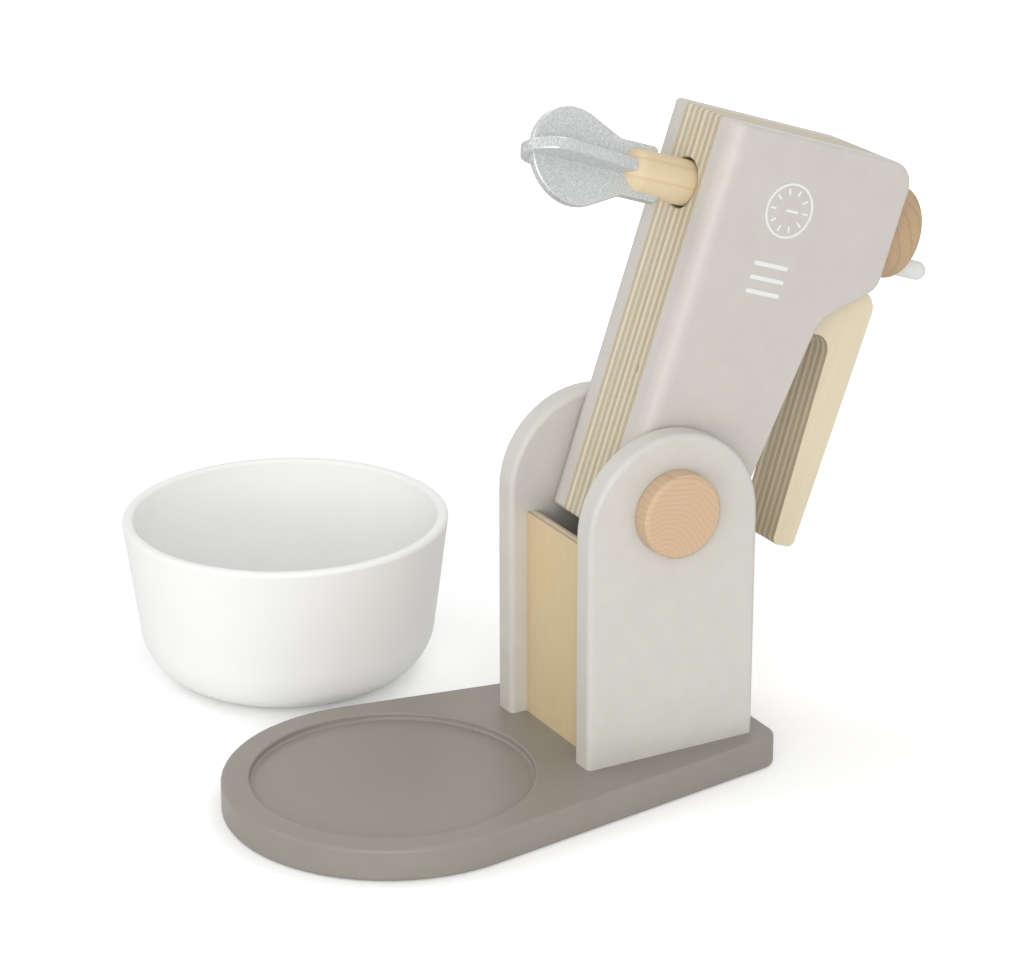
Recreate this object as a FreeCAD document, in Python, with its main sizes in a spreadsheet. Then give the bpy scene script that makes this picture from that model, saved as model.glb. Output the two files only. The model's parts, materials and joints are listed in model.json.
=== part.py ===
import FreeCAD, Part
import math
import os
import Sketcher

# Toy stand mixer in beech, plywood and painted board. Millimetres, +Z up, the front and the bowl's
# seat towards -Y. The origin is on the underside of the base, on the mirror plane, under the middle
# of the bowl's seat. The head is built level about its pivot and then laid back on its stop.

doc = FreeCAD.newDocument("toy_mixer")
sizes = doc.addObject("Spreadsheet::Sheet", "sizes")

DIMENSIONS = [
    ("base_radius", 60, "round front of the base board"),
    ("base_rear", 136, "rear edge of the base board, behind the origin"),
    ("base_rear_half_width", 39, "half the width of the rear edge, before its corners are rounded"),
    ("base_corner_radius", 8, "rear corners of the base board"),
    ("base_thickness", 12, "thickness of the base board"),
    ("base_edge_chamfer", 0.9, "eased edges of the base board"),
    ("seat_radius", 50, "round seat sunk into the base for the bowl"),
    ("seat_depth", 2.6, "depth of the bowl's seat"),
    ("seat_lip_chamfer", 0.5, "eased lip of the seat"),
    ("cheek_front", 60, "front edge of both cheeks, behind the origin"),
    ("cheek_width", 68, "width of a cheek from front to rear"),
    ("cheek_thickness", 10, "thickness of a cheek"),
    ("cheek_arch_height", 97, "centre of the cheek's round top above the floor"),
    ("cheek_edge_chamfer", 1.2, "eased edges of a cheek"),
    ("pivot_setback", 33, "pivot behind the front edge of the cheeks"),
    ("pivot_height", 103.5, "pivot above the floor"),
    ("pivot_axle_radius", 5, "dowel that the head tilts on"),
    ("running_clearance", 0.1, "all round an axle that turns in wood"),
    ("knob_radius", 15.3, "knobs on the ends of the pivot dowel"),
    ("knob_thickness", 7.5, "thickness of a knob"),
    ("knob_chamfer", 1.2, "chamfer round a knob's outer face"),
    ("knob_socket_depth", 5, "how far the pivot dowel enters a knob"),
    ("rubbing_gap", 0.3, "between turning wood and the board beside it"),
    ("plate_thickness", 4, "plywood plates between the cheeks"),
    ("front_plate_setback", 6.4, "face of the front plate behind the front edge of the cheeks"),
    ("rear_plate_setback", 12, "face of the rear plate ahead of the rear edge of the cheeks"),
    ("stop_gap", 0.05, "between the head and a plate that stops it"),
    ("screw_radius", 2, "shank of a base screw"),
    ("screw_head_radius", 4, "countersunk head of a base screw"),
    ("screw_head_height", 2.4, "height of the countersunk head"),
    ("screw_length", 34, "length of a base screw, head included"),
    ("screw_edge_distance", 16, "screws from the front and rear edges of a cheek"),
    ("screw_slack", 0.3, "shank hole in the base, all round the shank"),
    ("head_lean", 109, "degrees that the head leans back from level"),
    ("core_thickness", 22, "plywood core of the head, handle included"),
    ("side_thickness", 11, "painted side panels of the head"),
    ("head_side_gap", 0.8, "between the head and each cheek"),
    ("head_under", 14, "underside of the level head below the pivot"),
    ("head_tail", 16, "rear end of the head behind the pivot"),
    ("head_nose", 134, "nose of the head ahead of the pivot"),
    ("head_top", 65, "top of the head above the pivot"),
    ("crown_length", 45, "flat top of the head, from the nose to its rear end"),
    ("slope_run", 15.6, "slope behind the flat top, along the head"),
    ("slope_drop", 20.3, "how far that slope falls"),
    ("neck_rear_height", 33, "top of the head's rear end above the pivot"),
    ("nose_corner_radius", 9, "upper corner of the nose"),
    ("crown_corner_radius", 8, "rear corner of the flat top"),
    ("neck_hollow_radius", 9, "hollow at the foot of the slope"),
    ("tail_corner_radius", 3, "upper corner of the head's rear end"),
    ("side_under_round", 6, "round-over along the lower outer edge of a side panel"),
    ("side_edge_chamfer", 0.9, "eased outer edges of a side panel"),
    ("handle_setback", 48, "front end of the handle behind the nose"),
    ("handle_rise", 9.6, "outer corner at the handle's front end above the top of the head"),
    ("handle_front_radius", 8, "that corner's radius"),
    ("handle_rear", 10.8, "rear end of the handle behind the pivot"),
    ("handle_fall", 2.6, "how far the handle's outer edge falls to its rear end"),
    ("handle_end_thickness", 9.4, "handle at its rear end, from outer to inner edge"),
    ("handle_end_radius", 2.6, "corners at the handle's rear end"),
    ("handle_root_length", 19, "from the handle's front end back to the closed end of the finger gap"),
    ("handle_root_depth", 14.5, "inner edge of the handle at the closed end below its outer front corner"),
    ("finger_gap_radius", 6.5, "upper corner of the closed end"),
    ("finger_gap_foot_radius", 3, "lower corner of the closed end"),
    ("joint_dowel_radius", 4, "dowels that join the head's three layers"),
    ("joint_dowel_depth", 7, "how far these dowels enter a side panel"),
    ("rear_dowel_ahead", 40, "rearmost of these dowels, ahead of the pivot"),
    ("rear_dowel_height", 8, "rearmost of these dowels above the pivot"),
    ("middle_dowel_inset", 12.6, "middle dowel ahead of the foot of the slope"),
    ("middle_dowel_drop", 2.7, "middle dowel below the foot of the slope"),
    ("nose_dowel_inset", 10, "foremost dowel behind the nose"),
    ("nose_dowel_height", 22, "foremost dowel above the pivot"),
    ("shaft_from_nose", 26.5, "whisk shaft behind the nose of the head"),
    ("holder_radius", 8, "beech dowel that carries the whisk"),
    ("holder_clearance", 1, "bore round the whisk's dowel, all round"),
    ("holder_bore_depth", 16, "depth of that bore above the underside of the head"),
    ("holder_reach", 19, "straight part of the whisk's dowel below the underside of the head"),
    ("holder_dome", 7.1, "domed end of the whisk's dowel"),
    ("shaft_radius", 4.5, "thin shaft from the whisk's dowel to the crank disc"),
    ("shaft_socket_depth", 7, "how far the shaft enters the whisk's dowel"),
    ("disc_radius", 17, "crank disc"),
    ("disc_thickness", 15, "thickness of the crank disc"),
    ("disc_edge_chamfer", 0.6, "eased edges of the crank disc"),
    ("disc_socket_depth", 11, "how far the shaft enters the crank disc"),
    ("peg_radius", 3.5, "crank peg"),
    ("peg_throw", 11.7, "crank peg from the shaft's axis"),
    ("peg_reach", 17, "crank peg beyond the disc's face"),
    ("peg_socket_depth", 8, "how far the peg enters the disc"),
    ("peg_angle", 103, "degrees from the first blade's normal round to the peg"),
    ("blade_angle", 27.6, "degrees that the whisk is turned from the head's mirror plane"),
    ("fore_thickness", 3.2, "thickness of the broad whisk blade"),
    ("fore_radius", 17.4, "round end of the broad blade"),
    ("fore_centre_drop", 45.8, "centre of that round end below the underside of the head"),
    ("fore_neck_half_width", 10.2, "half the width of the broad blade's tang"),
    ("cross_thickness", 4.4, "thickness of the narrow whisk blade"),
    ("cross_radius", 11, "round end of the narrow blade"),
    ("cross_centre_drop", 54, "centre of that round end below the underside of the head"),
    ("cross_neck_half_width", 7, "half the width of the narrow blade's upper end"),
    ("neck_drop", 26.6, "lower end of a blade's parallel part below the underside of the head"),
    ("tang_grip", 8, "how far the broad blade's tang enters the straight part of the dowel"),
    ("cross_grip", 2.2, "how far the narrow blade enters the dome of the dowel"),
    ("tang_corner_radius", 2, "corners of the tang"),
    ("blade_slot_clearance", 0.05, "all round a blade in the slots that hold it"),
    ("bowl_place_x", -126, "centre of the bowl beside the base"),
    ("bowl_place_y", 20, "centre of the bowl beside the base"),
    ("bowl_rim_radius", 61.5, "outside of the bowl at its rim"),
    ("bowl_height", 62.7, "height of the bowl"),
    ("bowl_foot_radius", 53.4, "outside of the bowl's wall, drawn on to the floor"),
    ("bowl_foot_round", 21.5, "big round between the wall and the foot"),
    ("bowl_wall", 4.2, "wall and floor of the bowl"),
    ("bowl_rim_chamfer", 0.9, "eased rim"),
    ("cut_overrun", 1, "how far the outline of a cut runs past the wood"),
]

# Straight bands that stand for a rounded profile of a turned piece
BOWL_BANDS = 6
DOME_BANDS = 3

for row, (alias, number, note) in enumerate(DIMENSIONS, start=1):
    sizes.set("A%d" % row, alias)
    sizes.set("B%d" % row, str(number))
    sizes.set("C%d" % row, note)
    sizes.setAlias("B%d" % row, alias)
doc.recompute()

AXES = {"x": FreeCAD.Vector(1, 0, 0), "y": FreeCAD.Vector(0, 1, 0), "z": FreeCAD.Vector(0, 0, 1)}


def value(expression):
    """The number that an expression over the sheet comes to."""
    number = sizes.evalExpression(str(expression))
    return float(getattr(number, "Value", number))


def sized(expression):
    """An expression over the sheet's names, as the document's objects read it."""
    text = str(expression)
    words = []
    word = ""
    for letter in text + " ":
        if letter.isalnum() or letter == "_" or (letter == "." and word[:1].isdigit()):
            word += letter
            continue
        words.append("sizes." + word if word in SIZE_NAMES else word)
        words.append(letter)
        word = ""
    return "".join(words).strip()


SIZE_NAMES = {alias for alias, number, note in DIMENSIONS}


# Sketches and features

def new_body(label):
    return doc.addObject("PartDesign::Body", label)


def new_sketch(body, name, role, offset=None):
    """A sketch on one of the body's own origin planes, moved along its normal by offset."""
    sketch = body.newObject("Sketcher::SketchObject", name)
    plane = next(item for item in body.Origin.OriginFeatures if item.Role == role)
    sketch.AttachmentSupport = (plane, [""])
    sketch.MapMode = "FlatFace"
    if offset is not None:
        sketch.setExpression("AttachmentOffset.Base.z", sized(offset))
    return sketch


def tie(sketch, kind, places, expression):
    """A driving constraint whose value follows an expression over the sheet."""
    index = sketch.addConstraint(Sketcher.Constraint(kind, *places, value(expression)))
    sketch.setExpression("Constraints[%d]" % index, sized(expression))


def tie_point(sketch, geometry, end, x, y):
    tie(sketch, "DistanceX", (-1, 1, geometry, end), x)
    tie(sketch, "DistanceY", (-1, 1, geometry, end), y)


def draw_polygon(sketch, corners):
    """A closed outline of straight lines through corners, given as pairs of expressions."""
    points = [FreeCAD.Vector(value(x), value(y), 0) for x, y in corners]
    following = points[1:] + points[:1]
    lines = [sketch.addGeometry(Part.LineSegment(a, b)) for a, b in zip(points, following)]
    for line, after in zip(lines, lines[1:] + lines[:1]):
        sketch.addConstraint(Sketcher.Constraint("Coincident", line, 2, after, 1))
    for line, (x, y) in zip(lines, corners):
        tie_point(sketch, line, 1, x, y)


def draw_circle(sketch, x, y, radius):
    centre = FreeCAD.Vector(value(x), value(y), 0)
    circle = sketch.addGeometry(Part.Circle(centre, FreeCAD.Vector(0, 0, 1), value(radius)))
    tie(sketch, "Radius", (circle,), radius)
    tie_point(sketch, circle, 3, x, y)


def pad(body, name, sketch, length):
    feature = body.newObject("PartDesign::Pad", name)
    feature.Profile = sketch
    feature.setExpression("Length", sized(length))
    doc.recompute()
    return feature


def pocket(body, name, sketch, length, reverse=False):
    """A pocket that has to take material away, or the build stops."""
    before = body.Shape.Volume
    feature = body.newObject("PartDesign::Pocket", name)
    feature.Profile = sketch
    feature.setExpression("Length", sized(length))
    feature.Reversed = reverse
    doc.recompute()
    if body.Shape.Volume > before - 0.01:
        raise RuntimeError("%s cuts nothing" % name)
    return feature


def revolve(body, name, sketch, axis="V_Axis"):
    feature = body.newObject("PartDesign::Revolution", name)
    feature.Profile = sketch
    feature.ReferenceAxis = (sketch, [axis])
    feature.Angle = 360
    doc.recompute()
    return feature


def dress(body, kind, name, edges, size):
    """A fillet or a chamfer on the named edges of the body's tip."""
    if not edges:
        raise RuntimeError("%s finds no edge" % name)
    feature = body.newObject("PartDesign::" + kind, name)
    feature.Base = (feature.BaseFeature, edges)
    feature.setExpression("Radius" if kind == "Fillet" else "Size", sized(size))
    doc.recompute()
    return feature


def edge_names(body, test):
    """The names of the tip's edges that pass a test."""
    return ["Edge%d" % i for i, edge in enumerate(body.Tip.Shape.Edges, start=1) if test(edge)]


def lies_at(edge, axis, place):
    """True for an edge all of whose points have this coordinate along the axis."""
    box = edge.BoundBox
    low = getattr(box, axis.upper() + "Min")
    high = getattr(box, axis.upper() + "Max")
    return abs(low - place) < 0.01 and abs(high - place) < 0.01


def straight_along(edge, axis, places):
    """True for a straight edge along the axis through one of the places across it."""
    if not isinstance(edge.Curve, Part.Line) or abs(edge.Curve.Direction.dot(AXES[axis])) < 0.999:
        return False
    point = edge.Vertexes[0].Point
    across = [getattr(point, other) for other in "xyz" if other != axis]
    return any(math.dist(across, place) < 0.02 for place in places)


def smooth_at_edge(shape, edge):
    """True where the two faces beside an edge run into each other without a crease."""
    faces = [face for face in shape.Faces if any(edge.isSame(other) for other in face.Edges)]
    if len(faces) < 2:
        return True
    middle = edge.valueAt((edge.FirstParameter + edge.LastParameter) / 2)
    normals = [face.normalAt(*face.Surface.parameter(middle)) for face in faces]
    return normals[0].dot(normals[1]) > 0.99


def circles_at(body, spots):
    """The tip's level circles of given radius and height, each a pair of expressions."""
    wanted = [(value(radius), value(height)) for radius, height in spots]
    return edge_names(body, lambda edge: isinstance(edge.Curve, Part.Circle) and any(
        abs(edge.Curve.Radius - radius) < 0.01 and lies_at(edge, "z", height) for radius, height in wanted))


def sharp_edges_at(body, axis, place):
    shape = body.Tip.Shape
    return edge_names(body, lambda edge: lies_at(edge, axis, place) and not smooth_at_edge(shape, edge))


# Sizes that several pieces share, each an expression over the sheet

HEAD_HALF = "(core_thickness / 2 + side_thickness)"
CHEEK_INNER = "(core_thickness / 2 + side_thickness + head_side_gap)"
CHEEK_OUTER = "(core_thickness / 2 + side_thickness + head_side_gap + cheek_thickness)"
CHEEK_REAR = "(cheek_front + cheek_width)"
CHEEK_MIDDLE = "(cheek_front + cheek_width / 2)"
PIVOT_Y = "(cheek_front + pivot_setback)"
AXLE_BORE = "(pivot_axle_radius + running_clearance)"
SHAFT_AHEAD = "(head_nose - shaft_from_nose)"


def frame_of(expression_point, rotation=None):
    place = FreeCAD.Vector(*[value(item) for item in expression_point])
    return FreeCAD.Placement(place, rotation or FreeCAD.Rotation())


STAND = frame_of((0, 0, 0))
HEAD = frame_of((0, PIVOT_Y, "pivot_height"), FreeCAD.Rotation(-AXES["x"], value("head_lean")))
WHISK = HEAD * frame_of((0, "-" + SHAFT_AHEAD, 0), FreeCAD.Rotation(-AXES["z"], value("blade_angle")))
BOWL = frame_of(("bowl_place_x", "bowl_place_y", 0))

finished = []


def finish(piece, placement):
    """Puts a sub-part where it belongs and lists it for export."""
    piece.Placement = placement
    finished.append(piece)
    return piece


# Stand: base board, cheeks, plates and screws

def screw_places():
    """Where the base screws stand: one column under each cheek, two screws in each."""
    middle = "(" + CHEEK_INNER + " + cheek_thickness / 2)"
    fore = "(cheek_front + screw_edge_distance)"
    aft = "(" + CHEEK_REAR + " - screw_edge_distance)"
    return [(side + middle, y) for side in ("-", "") for y in (fore, aft)]


def make_base_board():
    body = new_body("base_board")
    sketch = new_sketch(body, "base_outline", "XY_Plane")
    radius = value("base_radius")
    rear = value("base_rear")
    half = value("base_rear_half_width")
    # The sides run from the rear corners to where they touch the round front.
    touch = math.atan2(rear, half) - math.acos(radius / math.hypot(rear, half))
    right = FreeCAD.Vector(radius * math.cos(touch), radius * math.sin(touch), 0)
    left = FreeCAD.Vector(-right.x, right.y, 0)
    circle = Part.Circle(FreeCAD.Vector(0, 0, 0), FreeCAD.Vector(0, 0, 1), radius)
    arc = sketch.addGeometry(Part.ArcOfCircle(circle, math.pi - touch, 2 * math.pi + touch))
    rear_right = FreeCAD.Vector(half, rear, 0)
    rear_left = FreeCAD.Vector(-half, rear, 0)
    side_right = sketch.addGeometry(Part.LineSegment(right, rear_right))
    back = sketch.addGeometry(Part.LineSegment(rear_right, rear_left))
    side_left = sketch.addGeometry(Part.LineSegment(rear_left, left))
    sketch.addConstraint(Sketcher.Constraint("Coincident", arc, 3, -1, 1))
    sketch.addConstraint(Sketcher.Constraint("Tangent", arc, 2, side_right, 1))
    sketch.addConstraint(Sketcher.Constraint("Coincident", side_right, 2, back, 1))
    sketch.addConstraint(Sketcher.Constraint("Coincident", back, 2, side_left, 1))
    sketch.addConstraint(Sketcher.Constraint("Tangent", side_left, 2, arc, 1))
    tie(sketch, "Radius", (arc,), "base_radius")
    tie_point(sketch, back, 1, "base_rear_half_width", "base_rear")
    tie_point(sketch, back, 2, "-base_rear_half_width", "base_rear")
    pad(body, "base_block", sketch, "base_thickness")
    corners = [(half, rear), (-half, rear)]
    dress(body, "Fillet", "base_corners", edge_names(body, lambda e: straight_along(e, "z", corners)),
          "base_corner_radius")
    rims = sharp_edges_at(body, "z", 0) + sharp_edges_at(body, "z", value("base_thickness"))
    dress(body, "Chamfer", "base_edges", rims, "base_edge_chamfer")
    seat = new_sketch(body, "seat_outline", "XY_Plane", "base_thickness")
    draw_circle(seat, 0, 0, "seat_radius")
    pocket(body, "seat", seat, "seat_depth")
    lip = circles_at(body, [("seat_radius", "base_thickness")])
    dress(body, "Chamfer", "seat_lip", lip, "seat_lip_chamfer")
    shanks = new_sketch(body, "screw_holes", "XY_Plane")
    for x, y in screw_places():
        draw_circle(shanks, x, y, "screw_radius + screw_slack")
    pocket(body, "screw_holes_cut", shanks, "base_thickness", reverse=True)
    openings = circles_at(body, [("screw_radius + screw_slack", "0")])
    countersink = dress(body, "Chamfer", "countersinks", openings, "screw_head_height")
    countersink.ChamferType = "Two distances"
    countersink.setExpression("Size", sized("screw_head_radius - screw_radius"))
    countersink.setExpression("Size2", sized("screw_head_height"))
    doc.recompute()
    return finish(body, STAND)


def make_cheek(label, side):
    """One cheek: straight below, a half circle on top, standing on the base."""
    body = new_body(label)
    offset = CHEEK_INNER if side > 0 else "-" + CHEEK_OUTER
    sketch = new_sketch(body, label + "_outline", "YZ_Plane", offset)
    front = value("cheek_front")
    rear = value(CHEEK_REAR)
    foot = value("base_thickness")
    top = value("cheek_arch_height")
    points = [FreeCAD.Vector(*p, 0) for p in ((rear, top), (front, top), (front, foot), (rear, foot))]
    circle = Part.Circle(FreeCAD.Vector((front + rear) / 2, top, 0), AXES["z"], (rear - front) / 2)
    arch = sketch.addGeometry(Part.ArcOfCircle(circle, 0, math.pi))
    fore = sketch.addGeometry(Part.LineSegment(points[1], points[2]))
    bottom = sketch.addGeometry(Part.LineSegment(points[2], points[3]))
    aft = sketch.addGeometry(Part.LineSegment(points[3], points[0]))
    sketch.addConstraint(Sketcher.Constraint("Tangent", arch, 2, fore, 1))
    sketch.addConstraint(Sketcher.Constraint("Coincident", fore, 2, bottom, 1))
    sketch.addConstraint(Sketcher.Constraint("Coincident", bottom, 2, aft, 1))
    sketch.addConstraint(Sketcher.Constraint("Tangent", aft, 2, arch, 1))
    sketch.addConstraint(Sketcher.Constraint("Vertical", fore))
    tie_point(sketch, fore, 2, "cheek_front", "base_thickness")
    tie_point(sketch, aft, 1, CHEEK_REAR, "base_thickness")
    tie_point(sketch, arch, 3, CHEEK_MIDDLE, "cheek_arch_height")
    pad(body, label + "_board", sketch, "cheek_thickness")
    low, high = sorted((side * value(CHEEK_INNER), side * value(CHEEK_OUTER)))
    rims = [name for x in (low, high) for name in edge_names(
        body, lambda e: lies_at(e, "x", x) and not lies_at(e, "z", foot))]
    dress(body, "Chamfer", label + "_edges", rims, "cheek_edge_chamfer")
    bore = new_sketch(body, label + "_bore", "YZ_Plane", offset)
    draw_circle(bore, PIVOT_Y, "pivot_height", AXLE_BORE)
    pocket(body, label + "_bore_cut", bore, "cheek_thickness", reverse=True)
    pilots = new_sketch(body, label + "_pilots", "XY_Plane", "base_thickness")
    for x, y in screw_places():
        if value(x) * side > 0:
            draw_circle(pilots, x, y, "screw_radius")
    pocket(body, label + "_pilots_cut", pilots, "screw_length - base_thickness", reverse=True)
    return finish(body, STAND)


def plate(label, near_face, top):
    """A plywood plate between the cheeks, from the base up to its top edge."""
    body = new_body(label)
    sketch = new_sketch(body, label + "_outline", "XY_Plane", "base_thickness")
    draw_polygon(sketch, [("-" + CHEEK_INNER, near_face), (CHEEK_INNER, near_face),
                          (CHEEK_INNER, near_face + " + plate_thickness"),
                          ("-" + CHEEK_INNER, near_face + " + plate_thickness")])
    pad(body, label + "_board", sketch, top + " - base_thickness")
    return finish(body, STAND)


def make_front_plate():
    """Its top edge carries the underside of the level head."""
    return plate("front_plate", "cheek_front + front_plate_setback", "pivot_height - head_under - stop_gap")


def make_rear_plate():
    """Its rear top edge stops the rear end of the head when the head leans back."""
    near_face = CHEEK_REAR + " - rear_plate_setback - plate_thickness"
    reach = "(" + CHEEK_REAR + " - rear_plate_setback - " + PIVOT_Y + ")"
    # The rear end of the leaning head is a slope through the point behind the pivot.
    height = ("(pivot_height - head_tail / sin(head_lean) + " + reach + " * cos(head_lean) / sin(head_lean)"
              " - stop_gap)")
    return plate("rear_plate", near_face, height)


def make_base_screws():
    """Four countersunk screws that hold the cheeks from below, as one group."""
    screws = []
    for number, (x, y) in enumerate(screw_places(), start=1):
        head = doc.addObject("Part::Cone", "screw_head_%d" % number)
        head.setExpression("Radius1", sized("screw_head_radius"))
        head.setExpression("Radius2", sized("screw_radius"))
        head.setExpression("Height", sized("screw_head_height"))
        shank = doc.addObject("Part::Cylinder", "screw_shank_%d" % number)
        shank.setExpression("Radius", sized("screw_radius"))
        shank.setExpression("Height", sized("screw_length"))
        for piece in (head, shank):
            piece.Placement = frame_of((x, y, 0))
        screw = doc.addObject("Part::Fuse", "screw_%d" % number)
        screw.Base = shank
        screw.Tool = head
        screws.append(screw)
    group = doc.addObject("Part::Compound", "base_screws")
    group.Links = screws
    doc.recompute()
    return finish(group, STAND)


# Head: plywood core with its handle, painted sides, joining dowels, pivot dowel and knobs
# Sketch axes of the head: rearwards from the pivot, and up from the pivot.

CROWN_REAR = "(head_nose - crown_length)"
NECK_FRONT = "(head_nose - crown_length - slope_run)"
NECK_FRONT_HEIGHT = "(head_top - slope_drop)"
HANDLE_FRONT = "(head_nose - handle_setback)"
HANDLE_FRONT_HEIGHT = "(head_top + handle_rise)"
HANDLE_REAR_HEIGHT = "(head_top + handle_rise - handle_fall)"
GAP_FRONT = "(head_nose - handle_setback - handle_root_length)"
NECK_SLOPE = "((" + NECK_FRONT_HEIGHT + " - neck_rear_height) / (" + NECK_FRONT + " + head_tail))"


def neck_height(ahead):
    """Height of the neck's upper edge above the pivot, at a distance ahead of the pivot."""
    return "(neck_rear_height + (%s + head_tail) * %s)" % (ahead, NECK_SLOPE)


SIDE_CORNERS = {
    "under_nose": ("-head_nose", "-head_under"),
    "nose_top": ("-head_nose", "head_top"),
    "crown_end": ("-" + CROWN_REAR, "head_top"),
    "neck_foot": ("-" + NECK_FRONT, NECK_FRONT_HEIGHT),
    "tail_top": ("head_tail", "neck_rear_height"),
    "tail_under": ("head_tail", "-head_under"),
}

CORE_CORNERS = {
    "under_nose": ("-head_nose", "-head_under"),
    "nose_top": ("-head_nose", "head_top"),
    "handle_root": ("-" + HANDLE_FRONT, "head_top"),
    "handle_front": ("-" + HANDLE_FRONT, HANDLE_FRONT_HEIGHT),
    "handle_rear": ("handle_rear", HANDLE_REAR_HEIGHT),
    "handle_rear_inner": ("handle_rear", HANDLE_REAR_HEIGHT + " - handle_end_thickness"),
    "gap_end": ("-" + GAP_FRONT, HANDLE_FRONT_HEIGHT + " - handle_root_depth"),
    "gap_foot": ("-" + GAP_FRONT, neck_height(GAP_FRONT)),
    "tail_top": ("head_tail", "neck_rear_height"),
    "tail_under": ("head_tail", "-head_under"),
}


def round_corners(body, name, corners, radii):
    """Rounds corners of an outline across the head, each by its own size."""
    for corner, radius in radii:
        y, z = corners[corner]
        spot = [(value(y), value(z))]
        edges = edge_names(body, lambda e: straight_along(e, "x", spot))
        dress(body, "Fillet", name + "_" + corner, edges, radius)


# Dowels that join the head's layers
DOWEL_PLACES = [
    ("-rear_dowel_ahead", "rear_dowel_height"),
    ("-(" + NECK_FRONT + " + middle_dowel_inset)", NECK_FRONT_HEIGHT + " - middle_dowel_drop"),
    ("-(head_nose - nose_dowel_inset)", "nose_dowel_height"),
]


def make_head_core():
    body = new_body("head_core")
    sketch = new_sketch(body, "core_outline", "YZ_Plane", "-core_thickness / 2")
    draw_polygon(sketch, list(CORE_CORNERS.values()))
    pad(body, "core_board", sketch, "core_thickness")
    round_corners(body, "core", CORE_CORNERS, [
        ("nose_top", "nose_corner_radius"),
        ("handle_front", "handle_front_radius"),
        ("handle_rear", "handle_end_radius"),
        ("handle_rear_inner", "handle_end_radius"),
        ("gap_end", "finger_gap_radius"),
        ("gap_foot", "finger_gap_foot_radius"),
        ("tail_top", "tail_corner_radius"),
    ])
    holes = new_sketch(body, "core_holes", "YZ_Plane", "-core_thickness / 2")
    draw_circle(holes, 0, 0, "pivot_axle_radius")
    for y, z in DOWEL_PLACES:
        draw_circle(holes, y, z, "joint_dowel_radius")
    pocket(body, "core_holes_cut", holes, "core_thickness", reverse=True)
    bore = new_sketch(body, "holder_bore", "XY_Plane", "-head_under")
    draw_circle(bore, 0, "-" + SHAFT_AHEAD, "holder_radius + holder_clearance")
    pocket(body, "holder_bore_cut", bore, "holder_bore_depth", reverse=True)
    shaft = new_sketch(body, "shaft_bore", "XY_Plane", "head_top")
    draw_circle(shaft, 0, "-" + SHAFT_AHEAD, "shaft_radius + running_clearance")
    pocket(body, "shaft_bore_cut", shaft, "head_top + head_under - holder_bore_depth")
    return finish(body, HEAD)


def make_head_side(label, side):
    body = new_body(label)
    inner = "core_thickness / 2"
    offset = inner if side > 0 else "-" + HEAD_HALF
    sketch = new_sketch(body, label + "_outline", "YZ_Plane", offset)
    draw_polygon(sketch, list(SIDE_CORNERS.values()))
    pad(body, label + "_board", sketch, "side_thickness")
    round_corners(body, label, SIDE_CORNERS, [
        ("nose_top", "nose_corner_radius"),
        ("crown_end", "crown_corner_radius"),
        ("neck_foot", "neck_hollow_radius"),
        ("tail_top", "tail_corner_radius"),
    ])
    outer = side * value(HEAD_HALF)
    under = -value("head_under")
    dress(body, "Fillet", label + "_under_edge",
          edge_names(body, lambda e: lies_at(e, "x", outer) and lies_at(e, "z", under)), "side_under_round")
    dress(body, "Chamfer", label + "_edges", sharp_edges_at(body, "x", outer), "side_edge_chamfer")
    bore = new_sketch(body, label + "_bore", "YZ_Plane", offset)
    draw_circle(bore, 0, 0, "pivot_axle_radius")
    pocket(body, label + "_bore_cut", bore, "side_thickness", reverse=True)
    sockets = new_sketch(body, label + "_sockets", "YZ_Plane", inner if side > 0 else "-" + inner)
    for y, z in DOWEL_PLACES:
        draw_circle(sockets, y, z, "joint_dowel_radius")
    pocket(body, label + "_sockets_cut", sockets, "joint_dowel_depth", reverse=side > 0)
    return finish(body, HEAD)


def cross_dowel(name, radius, length, y, z):
    """A dowel across the head, centred on the mirror plane, y rearwards and z up from the pivot."""
    dowel = doc.addObject("Part::Cylinder", name)
    dowel.setExpression("Radius", sized(radius))
    dowel.setExpression("Height", sized(length))
    start = frame_of(("-(" + length + ") / 2", y, z), FreeCAD.Rotation(AXES["y"], 90))
    return dowel, start


def make_head_dowels():
    """Dowels that line up and join the core and the two sides, as one group."""
    dowels = []
    for number, (y, z) in enumerate(DOWEL_PLACES, start=1):
        length = "core_thickness + 2 * joint_dowel_depth"
        dowel, start = cross_dowel("head_dowel_%d" % number, "joint_dowel_radius", length, y, z)
        dowel.Placement = start
        dowels.append(dowel)
    group = doc.addObject("Part::Compound", "head_dowels")
    group.Links = dowels
    doc.recompute()
    return finish(group, HEAD)


def make_pivot_axle():
    length = "2 * (" + CHEEK_OUTER + " + rubbing_gap + knob_socket_depth)"
    axle, start = cross_dowel("pivot_axle", "pivot_axle_radius", length, "0", "0")
    doc.recompute()
    return finish(axle, HEAD * start)


def turned(label, outline, eased_edges=(), size=None):
    """A turned piece about the sketch's upright axis; eased_edges are (radius, height) pairs."""
    body = new_body(label)
    sketch = new_sketch(body, label + "_outline", "XZ_Plane")
    draw_polygon(sketch, outline)
    revolve(body, label + "_turned", sketch)
    if eased_edges:
        dress(body, "Chamfer", label + "_edges", circles_at(body, eased_edges), size)
    return body


def make_knob(label, side):
    """A turned knob with a socket for the pivot dowel, its axis along the dowel."""
    body = turned(label, [
        ("pivot_axle_radius", "0"), ("knob_radius", "0"), ("knob_radius", "knob_thickness"),
        ("0", "knob_thickness"), ("0", "knob_socket_depth"), ("pivot_axle_radius", "knob_socket_depth"),
    ], [("knob_radius", "knob_thickness")], "knob_chamfer")
    start = side * value(CHEEK_OUTER + " + rubbing_gap")
    turn = FreeCAD.Rotation(AXES["y"], 90 * side)
    return finish(body, HEAD * FreeCAD.Placement(FreeCAD.Vector(start, 0, 0), turn))


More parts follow.
